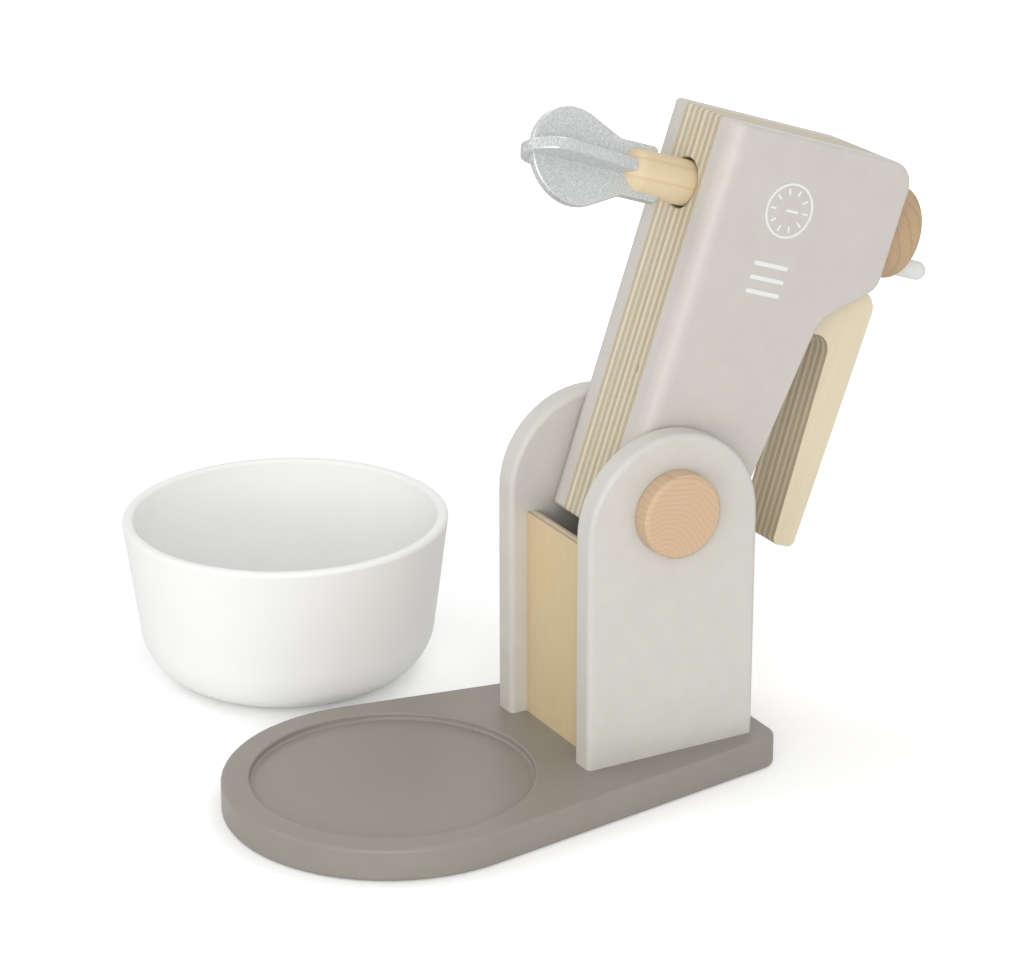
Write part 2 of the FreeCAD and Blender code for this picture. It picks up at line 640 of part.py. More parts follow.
# Whisk: beech dowel, two crossed blades, shaft, crank disc and peg. Heights are the head's own.

HOLDER_END = "(-head_under - holder_reach)"
HOLDER_TIP = "(-head_under - holder_reach - holder_dome)"
TANG_END = "(-head_under - holder_reach + tang_grip)"
CROSS_END = "(-head_under - holder_reach - holder_dome + cross_grip)"
NECK_END = "(-head_under - neck_drop)"
FORE_TIP = "(-head_under - fore_centre_drop - fore_radius)"
HALVING = "((" + HOLDER_TIP + " + " + FORE_TIP + ") / 2)"
HOLDER_TOP = "(holder_bore_depth - head_under - rubbing_gap)"
SHAFT_FOOT = "(holder_bore_depth - head_under - rubbing_gap - shaft_socket_depth)"
DISC_FOOT = "(head_top + rubbing_gap)"
DISC_FACE = "(head_top + rubbing_gap + disc_thickness)"


def arc_points(centre_r, centre_z, radius, start, span, bands, depth=None):
    """Corners of straight bands along a round profile, or an oval one that is depth high.

    Angles are in degrees from the radial direction.
    """
    points = []
    for i in range(bands + 1):
        angle = "(%s + %s * %d / %d)" % (start, span, i, bands)
        points.append(("%s + %s * cos(%s)" % (centre_r, radius, angle),
                       "%s + %s * sin(%s)" % (centre_z, depth or radius, angle)))
    return points


def half_slot(thickness):
    return "(" + thickness + " / 2 + blade_slot_clearance)"


def draw_box(sketch, half_x, half_y):
    """A rectangle about the sketch's origin."""
    draw_polygon(sketch, [("-" + half_x, "-" + half_y), (half_x, "-" + half_y),
                          (half_x, half_y), ("-" + half_x, half_y)])


def make_whisk_holder():
    """A dowel with a domed end, slit for the broad blade and notched for the narrow one."""
    dome = arc_points("0", HOLDER_END, "holder_radius", "-90", "90", DOME_BANDS, depth="holder_dome")
    body = turned("whisk_holder", [("0", HOLDER_TIP)] + dome[1:] + [
        ("holder_radius", HOLDER_TOP), ("shaft_radius", HOLDER_TOP),
        ("shaft_radius", SHAFT_FOOT), ("0", SHAFT_FOOT),
    ])
    reach = "(holder_radius + cut_overrun)"
    slit = new_sketch(body, "fore_slit", "XY_Plane", HOLDER_TIP)
    draw_box(slit, half_slot("fore_thickness"), reach)
    pocket(body, "fore_slit_cut", slit, "holder_dome + tang_grip + blade_slot_clearance", reverse=True)
    notch = new_sketch(body, "cross_notch", "XY_Plane", HOLDER_TIP)
    draw_box(notch, reach, half_slot("cross_thickness"))
    pocket(body, "cross_notch_cut", notch, "cross_grip + blade_slot_clearance", reverse=True)
    return finish(body, WHISK)


def blade_board(label, name, top):
    """A flat paddle: a parallel upper part, straight flanks and a round end. Its sizes start with name."""
    body = new_body(label)
    # Drawn flat across the mirror plane: width along the sketch's x axis, height as in the head.
    sketch = new_sketch(body, label + "_outline", "XZ_Plane", "-" + name + "_thickness / 2")
    centre_height = "(-head_under - " + name + "_centre_drop)"
    half_width = name + "_neck_half_width"
    radius = value(name + "_radius")
    centre = value(centre_height)
    half = value(half_width)
    # The straight flanks run from the neck to where they touch the round end.
    rise = value(NECK_END) - centre
    touch = math.atan2(rise, half) - math.acos(radius / math.hypot(half, rise))
    touch_right = FreeCAD.Vector(radius * math.cos(touch), centre + radius * math.sin(touch), 0)
    touch_left = FreeCAD.Vector(-touch_right.x, touch_right.y, 0)
    neck_right = FreeCAD.Vector(half, value(NECK_END), 0)
    neck_left = FreeCAD.Vector(-half, value(NECK_END), 0)
    top_right = FreeCAD.Vector(half, value(top), 0)
    top_left = FreeCAD.Vector(-half, value(top), 0)
    circle = Part.Circle(FreeCAD.Vector(0, centre, 0), AXES["z"], radius)
    arc = sketch.addGeometry(Part.ArcOfCircle(circle, math.pi - touch, 2 * math.pi + touch))
    corners = [touch_right, neck_right, top_right, top_left, neck_left, touch_left]
    lines = [sketch.addGeometry(Part.LineSegment(a, b)) for a, b in zip(corners, corners[1:])]
    sketch.addConstraint(Sketcher.Constraint("Tangent", arc, 2, lines[0], 1))
    for line, after in zip(lines, lines[1:]):
        sketch.addConstraint(Sketcher.Constraint("Coincident", line, 2, after, 1))
    sketch.addConstraint(Sketcher.Constraint("Tangent", lines[-1], 2, arc, 1))
    tie(sketch, "Radius", (arc,), name + "_radius")
    tie_point(sketch, arc, 3, "0", centre_height)
    tie_point(sketch, lines[1], 1, half_width, NECK_END)
    tie_point(sketch, lines[2], 1, half_width, top)
    tie_point(sketch, lines[2], 2, "-" + half_width, top)
    tie_point(sketch, lines[3], 2, "-" + half_width, NECK_END)
    pad(body, label + "_board", sketch, name + "_thickness")
    return body


def halving_slot(body, label, name, other, low, high):
    """The slot that takes half of the other blade."""
    slot = new_sketch(body, label + "_slot", "XZ_Plane", "-" + name + "_thickness / 2")
    half = half_slot(other + "_thickness")
    draw_polygon(slot, [("-" + half, low), (half, low), (half, high), ("-" + half, high)])
    pocket(body, label + "_slot_cut", slot, name + "_thickness", reverse=True)


def make_fore_blade():
    """The broad blade, gripped by the dowel and slotted from its round end."""
    label = "whisk_blade_fore"
    body = blade_board(label, "fore", TANG_END)
    half = value("fore_neck_half_width")
    corners = [(half, value(TANG_END)), (-half, value(TANG_END))]
    dress(body, "Fillet", label + "_tang_corners",
          edge_names(body, lambda e: straight_along(e, "y", corners)), "tang_corner_radius")
    halving_slot(body, label, "fore", "cross", FORE_TIP + " - cut_overrun", HALVING)
    turn = FreeCAD.Rotation(AXES["z"], 90)
    return finish(body, WHISK * FreeCAD.Placement(FreeCAD.Vector(0, 0, 0), turn))


def make_cross_blade():
    """The narrow blade, notched into the dome and slotted from its upper end."""
    label = "whisk_blade_cross"
    body = blade_board(label, "cross", CROSS_END)
    halving_slot(body, label, "cross", "fore", HALVING, CROSS_END + " + cut_overrun")
    return finish(body, WHISK)


def make_whisk_shaft():
    shaft = doc.addObject("Part::Cylinder", "whisk_shaft")
    shaft.setExpression("Radius", sized("shaft_radius"))
    shaft.setExpression("Height", sized(DISC_FOOT + " + disc_socket_depth - " + SHAFT_FOOT))
    doc.recompute()
    return finish(shaft, WHISK * frame_of((0, 0, SHAFT_FOOT)))


def make_crank_disc():
    disc_socket_end = "(" + DISC_FOOT + " + disc_socket_depth)"
    body = turned("crank_disc", [
        ("shaft_radius", DISC_FOOT), ("disc_radius", DISC_FOOT), ("disc_radius", DISC_FACE),
        ("0", DISC_FACE), ("0", disc_socket_end), ("shaft_radius", disc_socket_end),
    ], [("disc_radius", DISC_FOOT), ("disc_radius", DISC_FACE)], "disc_edge_chamfer")
    socket = new_sketch(body, "peg_socket", "XY_Plane", DISC_FACE)
    draw_circle(socket, "peg_throw * cos(peg_angle)", "peg_throw * sin(peg_angle)", "peg_radius")
    pocket(body, "peg_socket_cut", socket, "peg_socket_depth")
    return finish(body, WHISK)


def make_crank_peg():
    """A round peg with a domed end."""
    shoulder = "(peg_socket_depth + peg_reach - peg_radius)"
    dome = arc_points("0", shoulder, "peg_radius", "0", "90", DOME_BANDS)
    foot = [("0", "0"), ("peg_radius", "0")]
    body = turned("crank_peg", foot + dome[:-1] + [("0", "peg_socket_depth + peg_reach")])
    foot_height = "(" + DISC_FACE + " - peg_socket_depth)"
    place = frame_of(("peg_throw * cos(peg_angle)", "peg_throw * sin(peg_angle)", foot_height))
    return finish(body, WHISK * place)


# Bowl

def make_bowl():
    """Slanted wall, big round down to a flat foot, even thickness and an eased flat rim."""
    slope = "((bowl_rim_radius - bowl_foot_radius) / bowl_height)"
    stretch = "sqrt(1 + %s ^ 2)" % slope
    centre = "(bowl_foot_radius + bowl_foot_round * (%s - %s))" % (slope, stretch)
    span = "(90 - atan(%s) / 1 deg)" % slope
    outside = arc_points(centre, "bowl_foot_round", "bowl_foot_round", "-90", span, BOWL_BANDS)
    inside = arc_points(centre, "bowl_foot_round", "(bowl_foot_round - bowl_wall)", "-90", span, BOWL_BANDS)
    rim_outside = ("bowl_rim_radius", "bowl_height")
    rim_inside = ("bowl_rim_radius - bowl_wall * " + stretch, "bowl_height")
    outline = [("0", "0")] + outside + [rim_outside, rim_inside] + inside[::-1] + [("0", "bowl_wall")]
    body = turned("bowl", outline, [rim_outside, rim_inside], "bowl_rim_chamfer")
    return finish(body, BOWL)


make_base_board()
make_cheek("cheek_left", -1)
make_cheek("cheek_right", 1)
make_front_plate()
make_rear_plate()
make_base_screws()
make_head_core()
make_head_side("head_side_left", -1)
make_head_side("head_side_right", 1)
make_head_dowels()
make_pivot_axle()
make_knob("knob_left", -1)
make_knob("knob_right", 1)
make_whisk_holder()
make_fore_blade()
make_cross_blade()
make_whisk_shaft()
make_crank_disc()
make_crank_peg()
make_bowl()

doc.recompute()
for item in doc.Objects:
    if "Invalid" in item.State or "Error" in item.State:
        raise RuntimeError("%s did not rebuild: %s" % (item.Label, item.State))
for piece in finished:
    if piece.Shape.isNull() or not piece.Shape.isValid():
        raise RuntimeError("%s has no valid shape" % piece.Label)

os.makedirs("parts", exist_ok=True)
for piece in finished:
    piece.Shape.exportStep("parts/%s.step" % piece.Label)
    print("%-18s %d solid(s) %10.1f mm3" % (piece.Label, len(piece.Shape.Solids), piece.Shape.Volume))
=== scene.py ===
import json
import math

import bmesh
import bpy
from mathutils import Matrix, Vector


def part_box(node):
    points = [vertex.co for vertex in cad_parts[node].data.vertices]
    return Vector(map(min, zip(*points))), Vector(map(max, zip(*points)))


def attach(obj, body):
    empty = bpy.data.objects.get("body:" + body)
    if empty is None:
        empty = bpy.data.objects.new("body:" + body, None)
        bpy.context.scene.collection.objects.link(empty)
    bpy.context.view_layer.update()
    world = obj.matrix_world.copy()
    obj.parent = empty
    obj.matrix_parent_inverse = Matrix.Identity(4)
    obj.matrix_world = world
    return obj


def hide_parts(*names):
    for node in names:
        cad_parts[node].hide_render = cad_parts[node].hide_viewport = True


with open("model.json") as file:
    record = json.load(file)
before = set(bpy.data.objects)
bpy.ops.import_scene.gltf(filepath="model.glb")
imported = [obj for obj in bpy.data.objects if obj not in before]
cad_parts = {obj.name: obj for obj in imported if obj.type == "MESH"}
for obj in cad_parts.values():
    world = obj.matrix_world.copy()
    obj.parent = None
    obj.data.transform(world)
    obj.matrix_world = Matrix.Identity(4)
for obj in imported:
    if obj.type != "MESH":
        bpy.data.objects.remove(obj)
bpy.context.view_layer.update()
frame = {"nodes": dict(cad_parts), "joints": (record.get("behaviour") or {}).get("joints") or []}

# Toy stand mixer: looks. Metres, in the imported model's own frame.

MM = 0.001

# Camera, fitted to the photograph's edges

CAMERA_AZIMUTH = math.radians(61.09)
CAMERA_ELEVATION = math.radians(20.76)
CAMERA_ROLL = math.radians(-0.08)
CAMERA_TARGET = Vector((-1.67, 47.98, 111.3)) * MM
CAMERA_DISTANCE = 1200.98 * MM
IMAGE_WIDTH = 1020
FOCAL_PIXELS = 3471.42
SENSOR_WIDTH = 36.0
CAMERA_REACH = 20.0


def make_camera():
    a, e = CAMERA_AZIMUTH, CAMERA_ELEVATION
    back = Vector((math.sin(a) * math.cos(e), -math.cos(a) * math.cos(e), math.sin(e)))
    right = Vector((math.cos(a), math.sin(a), 0.0))
    up = back.cross(right)
    c, s = math.cos(CAMERA_ROLL), math.sin(CAMERA_ROLL)
    right, up = right * c + up * s, up * c - right * s
    data = bpy.data.cameras.new("camera")
    data.sensor_width = SENSOR_WIDTH
    data.sensor_fit = "HORIZONTAL"
    data.lens = FOCAL_PIXELS * SENSOR_WIDTH / IMAGE_WIDTH
    data.clip_end = CAMERA_REACH
    camera = bpy.data.objects.new("camera", data)
    turn = Matrix((right, up, back)).transposed().to_4x4()
    camera.matrix_world = Matrix.Translation(CAMERA_TARGET + back * CAMERA_DISTANCE) @ turn
    bpy.context.scene.collection.objects.link(camera)
    bpy.context.scene.camera = camera


# Directions of the leaning head: ahead is towards its nose, above is away from its underside.

UP = Vector((0, 0, 1))
ACROSS = Vector((1, 0, 0))
JOINTS = {joint["name"]: joint for joint in frame["joints"]}
PIVOT = Vector(JOINTS["head_tilt"]["pos_m"])
ABOVE = Vector(JOINTS["whisk_spin"]["axis"]).normalized()
AHEAD = ABOVE.cross(ACROSS) * -1


def in_head(x, ahead, above):
    """A point of the leaning head: x across, then ahead of and above the pivot, in metres."""
    return PIVOT + ACROSS * x + AHEAD * ahead + ABOVE * above


SHAFT_AHEAD = 107.5
SHAFT_FOOT = in_head(0, SHAFT_AHEAD * MM, 0)
BLADE_ANGLE = math.radians(27.6)
# Across the shaft: the narrow blade lies along CROSS_WAY, the broad one along FORE_WAY.
CROSS_WAY = ACROSS * math.cos(BLADE_ANGLE) + AHEAD * math.sin(BLADE_ANGLE)
FORE_WAY = ACROSS * math.sin(BLADE_ANGLE) - AHEAD * math.cos(BLADE_ANGLE)


# Material graphs

def srgb(red, green, blue):
    """A colour written as 0 to 255, as a picture holds it, made linear."""
    def linear(channel):
        c = channel / 255
        return c / 12.92 if c <= 0.04045 else ((c + 0.055) / 1.055) ** 2.4
    return (linear(red), linear(green), linear(blue), 1.0)


def scaled(colour, factor):
    return tuple(channel * factor for channel in colour[:3]) + (1.0,)


def grey(value):
    return (value, value, value, 1.0)


class Graph:
    """A material's nodes, with short calls for the few kinds used here."""

    def __init__(self, name, roughness=0.5, specular=0.5, metallic=0.0):
        self.material = bpy.data.materials.new(name)
        self.material.use_nodes = True
        self.tree = self.material.node_tree
        self.shader = self.tree.nodes["Principled BSDF"]
        self.shader.inputs["Roughness"].default_value = roughness
        self.shader.inputs["Specular IOR Level"].default_value = specular
        self.shader.inputs["Metallic"].default_value = metallic
        self.coords = self.node("ShaderNodeTexCoord")

    def node(self, kind, **settings):
        made = self.tree.nodes.new(kind)
        for key, setting in settings.items():
            setattr(made, key, setting)
        return made

    def put(self, socket, source):
        """Links a socket to another, or sets it to a plain value."""
        if isinstance(source, bpy.types.NodeSocket):
            self.tree.links.new(source, socket)
        else:
            socket.default_value = source

    def object_point(self):
        return self.coords.outputs["Object"]

    def normal(self):
        return self.coords.outputs["Normal"]

    def math(self, operation, a, b=0.0):
        node = self.node("ShaderNodeMath", operation=operation)
        self.put(node.inputs[0], a)
        self.put(node.inputs[1], b)
        return node.outputs[0]

    def along(self, direction, origin=(0, 0, 0), vector=None):
        """How far a point lies from origin along a direction; the shaded point unless a vector is given."""
        shifted = self.node("ShaderNodeVectorMath", operation="SUBTRACT")
        self.put(shifted.inputs[0], vector or self.object_point())
        self.put(shifted.inputs[1], tuple(origin))
        dot = self.node("ShaderNodeVectorMath", operation="DOT_PRODUCT")
        self.put(dot.inputs[0], shifted.outputs[0])
        self.put(dot.inputs[1], tuple(direction))
        return dot.outputs["Value"]

    def squareness(self, direction):
        """1 on faces that look along a direction either way, 0 on faces at right angles to them."""
        return self.math("ABSOLUTE", self.along(direction, vector=self.normal()))

    def vector(self, x, y, z):
        node = self.node("ShaderNodeCombineXYZ")
        for socket, source in zip(node.inputs, (x, y, z)):
            self.put(socket, source)
        return node.outputs[0]

    def grain_point(self, grain, origin, stretch):
        """The point with the grain's direction shortened, so that noise over it runs with the grain."""
        grain, side, third = grain_axes(grain)
        lengthwise = self.math("DIVIDE", self.along(grain, origin), stretch)
        return self.vector(self.along(side, origin), self.along(third, origin), lengthwise)

    def noise(self, vector, size, detail=3.0, roughness=0.55, distortion=0.0):
        """Noise whose blobs are about size metres across."""
        node = self.node("ShaderNodeTexNoise")
        self.put(node.inputs["Vector"], vector)
        node.inputs["Scale"].default_value = 1 / size
        node.inputs["Detail"].default_value = detail
        node.inputs["Roughness"].default_value = roughness
        node.inputs["Distortion"].default_value = distortion
        return node.outputs["Fac"]

    def cells(self, vector, size):
        """Random cells about size metres across."""
        node = self.node("ShaderNodeTexVoronoi")
        self.put(node.inputs["Vector"], vector)
        node.inputs["Scale"].default_value = 1 / size
        return node.outputs

    def cell_channels(self, size):
        """Three random values for each of the cells, size metres across, round the shaded point."""
        split = self.node("ShaderNodeSeparateColor")
        self.put(split.inputs[0], self.cells(self.object_point(), size)["Color"])
        return split.outputs

    def ramp(self, factor, stops):
        """Colours against a factor; stops are (place, colour) pairs."""
        node = self.node("ShaderNodeValToRGB")
        elements = node.color_ramp.elements
        while len(elements) < len(stops):
            elements.new(0.5)
        for element, (place, colour) in zip(elements, stops):
            element.position = place
            element.color = colour
        self.put(node.inputs["Fac"], factor)
        return node.outputs["Color"]

    def tones(self, factor, colour, shares):
        """One colour, lighter and darker against a factor; shares are (place, brightness) pairs."""
        return self.ramp(factor, [(place, scaled(colour, share)) for place, share in shares])

    def mix(self, factor, a, b, blend="MIX"):
        node = self.node("ShaderNodeMix", data_type="RGBA", blend_type=blend)
        self.put(node.inputs["Factor"], factor)
        self.put(node.inputs["A"], a)
        self.put(node.inputs["B"], b)
        return node.outputs["Result"]

    def remap(self, source, low, high, to_low=0.0, to_high=1.0):
        node = self.node("ShaderNodeMapRange")
        self.put(node.inputs["Value"], source)
        node.inputs["From Min"].default_value = low
        node.inputs["From Max"].default_value = high
        node.inputs["To Min"].default_value = to_low
        node.inputs["To Max"].default_value = to_high
        return node.outputs["Result"]

    def bump(self, height, distance, strength, under=None):
        node = self.node("ShaderNodeBump")
        node.inputs["Distance"].default_value = distance
        node.inputs["Strength"].default_value = strength
        self.put(node.inputs["Height"], height)
        if under is not None:
            self.put(node.inputs["Normal"], under)
        return node.outputs["Normal"]

    def finish(self, colour, normal=None, roughness=None):
        self.put(self.shader.inputs["Base Color"], colour)
        if normal is not None:
            self.put(self.shader.inputs["Normal"], normal)
        if roughness is not None:
            self.put(self.shader.inputs["Roughness"], roughness)
        return self.material


def grain_axes(grain):
    """The grain's direction and two more at right angles to it."""
    grain = Vector(grain).normalized()
    side = grain.orthogonal().normalized()
    return grain, side, grain.cross(side)


# Materials. Sizes are in metres; tones are (place on a noise, brightness) pairs.

PAINT_ROUGHNESS = 0.36
PAINT_SPECULAR = 0.4
MOTTLE_SIZE = 9 * MM
MOTTLE_TONES = ((0.3, 0.975), (0.7, 1.02))
DUST_SPACING = 7 * MM
DUST_RADIUS = 0.028
DUST_STRENGTH = 0.25
DUST_TONE = 0.7
PEEL_SIZE = 0.9 * MM
PEEL_HEIGHT = 0.02 * MM
SWELL_SIZE = 5 * MM
SWELL_HEIGHT = 0.06 * MM


def painted_board(name, colour):
    """Sprayed satin paint on board: faint mottling, fine orange peel and a few specks of dust."""
    g = Graph(name, PAINT_ROUGHNESS, PAINT_SPECULAR)
    point = g.object_point()
    mottle = g.noise(point, MOTTLE_SIZE, detail=4)
    tint = g.tones(mottle, colour, MOTTLE_TONES)
    speck = g.math("LESS_THAN", g.cells(point, DUST_SPACING)["Distance"], DUST_RADIUS)
    tint = g.mix(g.math("MULTIPLY", speck, DUST_STRENGTH), tint, scaled(colour, DUST_TONE))
    swell = g.bump(g.noise(point, SWELL_SIZE, detail=1), SWELL_HEIGHT, 0.4)
    normal = g.bump(g.noise(point, PEEL_SIZE, detail=2), PEEL_HEIGHT, 0.5, under=swell)
    rough = g.remap(mottle, 0.3, 0.7, PAINT_ROUGHNESS - 0.04, PAINT_ROUGHNESS + 0.05)
    return g.finish(tint, normal, rough)


WOOD_SPECULAR = 0.3
PLY_ROUGHNESS = 0.5
PLY_PALE = srgb(217, 210, 192)
PLY_BROWN = srgb(194, 178, 148)
PALE_TONES = ((0.25, 0.86), (0.75, 1.05))
BROWN_TONES = ((0.25, 0.78), (0.75, 1.10))
LAYER_WANDER = 0.10
WANDER_SIZE = 3 * MM
STREAK_SIZE = 0.35 * MM
PORE_SIZE = 0.45 * MM
SHEET_TINTS = [(0.0, (0.90, 0.89, 0.86, 1)), (1.0, grey(1.03))]
SHEET_SEED = 0.37
GLUE_START = 0.44
GLUE_STRENGTH = 0.35
GLUE_TONE = 0.62
KNOT_SIZE = 1.6 * MM
KNOT_RANGE = (0.775, 0.80)
KNOT_STRENGTH = 0.75
KNOT_COLOUR = srgb(128, 88, 48)
FIGURE_SIZE = 4 * MM
FIGURE_TONES = ((0.3, 0.93), (0.55, 1.0), (0.75, 1.04))
FIBRE_SIZE = 0.3 * MM
FIBRE_TONES = ((0.3, 0.94), (0.7, 1.04))
FACE_RANGE = (0.75, 0.9)
PLY_RELIEF = 0.05 * MM


def plywood(name, layer_axis, layer_start, layer_pitch, grain, origin, veneer):
    """Birch plywood. Faces square to layer_axis show veneer; the rest show the layers' edges."""
    g = Graph(name, PLY_ROUGHNESS, WOOD_SPECULAR)

    def noise(stretch, size, detail, **kind):
        return g.noise(g.grain_point(grain, origin, stretch), size, detail, **kind)

    across = g.math("DIVIDE", g.along(layer_axis, layer_axis * layer_start), layer_pitch)
    wander = g.remap(noise(30, WANDER_SIZE, 2), 0.3, 0.7, -LAYER_WANDER, LAYER_WANDER)
    across = g.math("ADD", across, wander)
    index = g.math("FLOOR", across)
    part = g.math("FRACT", across)
    odd = g.math("MODULO", g.math("ABSOLUTE", index), 2.0)
    # Layers cut along the grain are pale and streaky, those cut across it are browner and speckled.
    streaks = noise(40, STREAK_SIZE, 4, roughness=0.7)
    pores = noise(2, PORE_SIZE, 3, roughness=0.75)
    edge = g.mix(odd, g.tones(pores, PLY_BROWN, BROWN_TONES), g.tones(streaks, PLY_PALE, PALE_TONES))
    # Each layer is its own sheet, a little lighter or darker than the next.
    sheet = g.node("ShaderNodeTexWhiteNoise", noise_dimensions="1D")
    g.put(sheet.inputs["W"], g.math("ADD", index, SHEET_SEED))
    edge = g.mix(1.0, edge, g.ramp(sheet.outputs["Value"], SHEET_TINTS), "MULTIPLY")
    glue = g.math("GREATER_THAN", g.math("ABSOLUTE", g.math("SUBTRACT", part, 0.5)), GLUE_START)
    edge = g.mix(g.math("MULTIPLY", glue, GLUE_STRENGTH), edge, scaled(PLY_BROWN, GLUE_TONE))
    knot = g.remap(noise(6, KNOT_SIZE, 1), *KNOT_RANGE)
    edge = g.mix(g.math("MULTIPLY", knot, KNOT_STRENGTH), edge, KNOT_COLOUR)
    figure = noise(14, FIGURE_SIZE, 5, roughness=0.6, distortion=0.6)
    fibres = noise(30, FIBRE_SIZE, 2)
    face = g.mix(0.5, g.tones(figure, veneer, FIGURE_TONES), g.tones(fibres, veneer, FIBRE_TONES))
    colour = g.mix(g.remap(g.squareness(layer_axis), *FACE_RANGE), edge, face)
    relief = g.math("SUBTRACT", g.math("MULTIPLY", streaks, 0.6), glue)
    return g.finish(colour, g.bump(relief, PLY_RELIEF, 0.5))


TURNED_ROUGHNESS = 0.48
RING_WOBBLE = 1.6 * MM
WOBBLE_SIZE = 14 * MM
EARLY_WOOD = 1.02
LATE_WOOD_START = 0.72
LATE_WOOD_END = 0.9
LATE_WOOD_CONTRAST = 2.2
WOOD_FIBRE_SIZE = 0.5 * MM
FLECK_SPACING = 1.9 * MM
FLECK_RANGE = (0.20, 0.10)
FLECK_TONE = 0.62
WOOD_RELIEF = 0.03 * MM


def solid_wood(name, colour, grain, heart, ring_pitch, contrast=0.08, fleck=0.0, late_wood=None):
    """Turned hardwood: growth rings about a line along the grain through heart, flecks and fine pores."""
    g = Graph(name, TURNED_ROUGHNESS, WOOD_SPECULAR)
    _, side, third = grain_axes(grain)
    wobble = g.noise(g.grain_point(grain, PIVOT, 10), WOBBLE_SIZE, detail=2)
    u = g.along(side, heart)
    v = g.along(third, heart)
    radius = g.math("SQRT", g.math("ADD", g.math("MULTIPLY", u, u), g.math("MULTIPLY", v, v)))
    radius = g.math("ADD", radius, g.remap(wobble, 0.2, 0.8, -RING_WOBBLE, RING_WOBBLE))
    phase = g.math("FRACT", g.math("DIVIDE", radius, ring_pitch))
    early_wood = scaled(colour, EARLY_WOOD)
    late_wood = late_wood or scaled(colour, 1 - LATE_WOOD_CONTRAST * contrast)
    rings = g.ramp(phase, [(0.0, early_wood), (LATE_WOOD_START, colour), (LATE_WOOD_END, late_wood),
                           (1.0, early_wood)])
    fibres = g.noise(g.grain_point(grain, PIVOT, 25), WOOD_FIBRE_SIZE, roughness=0.65)
    dark_fibre = (1 - contrast, 1 - contrast, 1 - 1.1 * contrast, 1)
    tone = g.mix(1.0, rings, g.ramp(fibres, [(0.3, dark_fibre), (0.7, grey(EARLY_WOOD))]), "MULTIPLY")
    if fleck:
        dashes = g.cells(g.grain_point(grain, PIVOT, 3), FLECK_SPACING)
        spot = g.remap(dashes["Distance"], *FLECK_RANGE)
        tone = g.mix(g.math("MULTIPLY", spot, fleck), tone, scaled(colour, FLECK_TONE))
    return g.finish(tone, g.bump(fibres, WOOD_RELIEF, 0.5))


FLAKE_SIZE = 0.42 * MM
FLAKE_COLOURS = [(0.0, srgb(172, 175, 174)), (0.5, srgb(198, 201, 199)), (0.9, srgb(210, 212, 210)),
                 (1.0, srgb(232, 234, 232))]
FLAKE_RELIEF = 0.04 * MM
FINE_FLAKE_SIZE = 0.27 * MM
FINE_FLAKE_COLOURS = [(0.0, srgb(170, 173, 172)), (1.0, srgb(224, 227, 225))]
BLADE_BRUSH_SIZE = 1.5 * MM
# Edge tones: plain silver paint, lightened towards white as a painted highlight.
BLADE_EDGE_AND_HIGHLIGHT_COLOURS = [(0.3, srgb(180, 182, 183)), (0.7, srgb(222, 224, 225))]
BLADE_SIDE_RANGE = (0.80, 0.97)
BLADE_EDGE_ROUGHNESS = 0.26
BLADE_SIDE_ROUGHNESS = 0.45
BLADE_EDGE_METALLIC = 0.75
BLADE_SIDE_METALLIC = 0.25


def glitter(name, flat):
    """Silver paint: fine flakes on the flat sides, plainer and shinier round the edges, whose tones are
    lightened towards white as a painted highlight.
    """
    g = Graph(name)
    flakes = g.cell_channels(FLAKE_SIZE)
    fine_flakes = g.cell_channels(FINE_FLAKE_SIZE)
    sides = g.mix(0.5, g.ramp(flakes[0], FLAKE_COLOURS), g.ramp(fine_flakes[1], FINE_FLAKE_COLOURS))
    brushed = g.noise(g.grain_point(ABOVE, SHAFT_FOOT, 0.12), BLADE_BRUSH_SIZE)
    on_side = g.remap(g.squareness(flat), *BLADE_SIDE_RANGE)
    # On the edges the streaky tones carry a painted highlight.
    tone = g.mix(on_side, g.ramp(brushed, BLADE_EDGE_AND_HIGHLIGHT_COLOURS), sides)
    rough = g.mix(on_side, grey(BLADE_EDGE_ROUGHNESS), grey(BLADE_SIDE_ROUGHNESS))
    metallic = g.remap(on_side, 0.0, 1.0, BLADE_EDGE_METALLIC, BLADE_SIDE_METALLIC)
    g.put(g.shader.inputs["Metallic"], metallic)
    return g.finish(tone, g.bump(flakes[2], FLAKE_RELIEF, 0.5), rough)


CLOUD_SIZE = 20 * MM
CLOUD_TONES = ((0.3, 0.99), (0.7, 1.005))
MOULD_TEXTURE_SIZE = 1.2 * MM
MOULD_TEXTURE_HEIGHT = 0.02 * MM


def moulded_white(name, colour, roughness=0.5):
    """Matte white with the faintest texture."""
    g = Graph(name, roughness, specular=0.35)
    cloud = g.noise(g.object_point(), CLOUD_SIZE, detail=2)
    texture = g.noise(g.object_point(), MOULD_TEXTURE_SIZE, detail=2)
    rough = g.remap(cloud, 0.3, 0.7, roughness - 0.03, roughness + 0.03)
    return g.finish(g.tones(cloud, colour, CLOUD_TONES), g.bump(texture, MOULD_TEXTURE_HEIGHT, 0.35), rough)


STEEL_BRUSH_SIZE = 0.6 * MM
STEEL_RELIEF = 0.02 * MM


def plated_steel(name):
    g = Graph(name, roughness=0.35, metallic=1.0)
    brushed = g.noise(g.grain_point(UP, (0, 0, 0), 0.1), STEEL_BRUSH_SIZE)
    tone = g.ramp(brushed, [(0.3, srgb(150, 152, 155)), (0.7, srgb(190, 192, 194))])
    return g.finish(tone, g.bump(brushed, STEEL_RELIEF, 0.4))


CORE_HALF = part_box("head_core")[1].x
CORE_PLIES = 13
CORE_PLY = 2 * CORE_HALF / CORE_PLIES
CORE_VENEER = srgb(219, 207, 180)
PLATE_PLY = 4 * MM / 3
PLATE_VENEER = srgb(213, 191, 152)
KNOB_HEART = PIVOT + Vector((0, -9, -16)) * MM
DISC_GRAIN = (1, 0.2, 0.1)
DISC_HEART = PIVOT + Vector((0, -60, 40)) * MM
HOLDER_HEART = in_head(9 * MM, 90 * MM, 0)


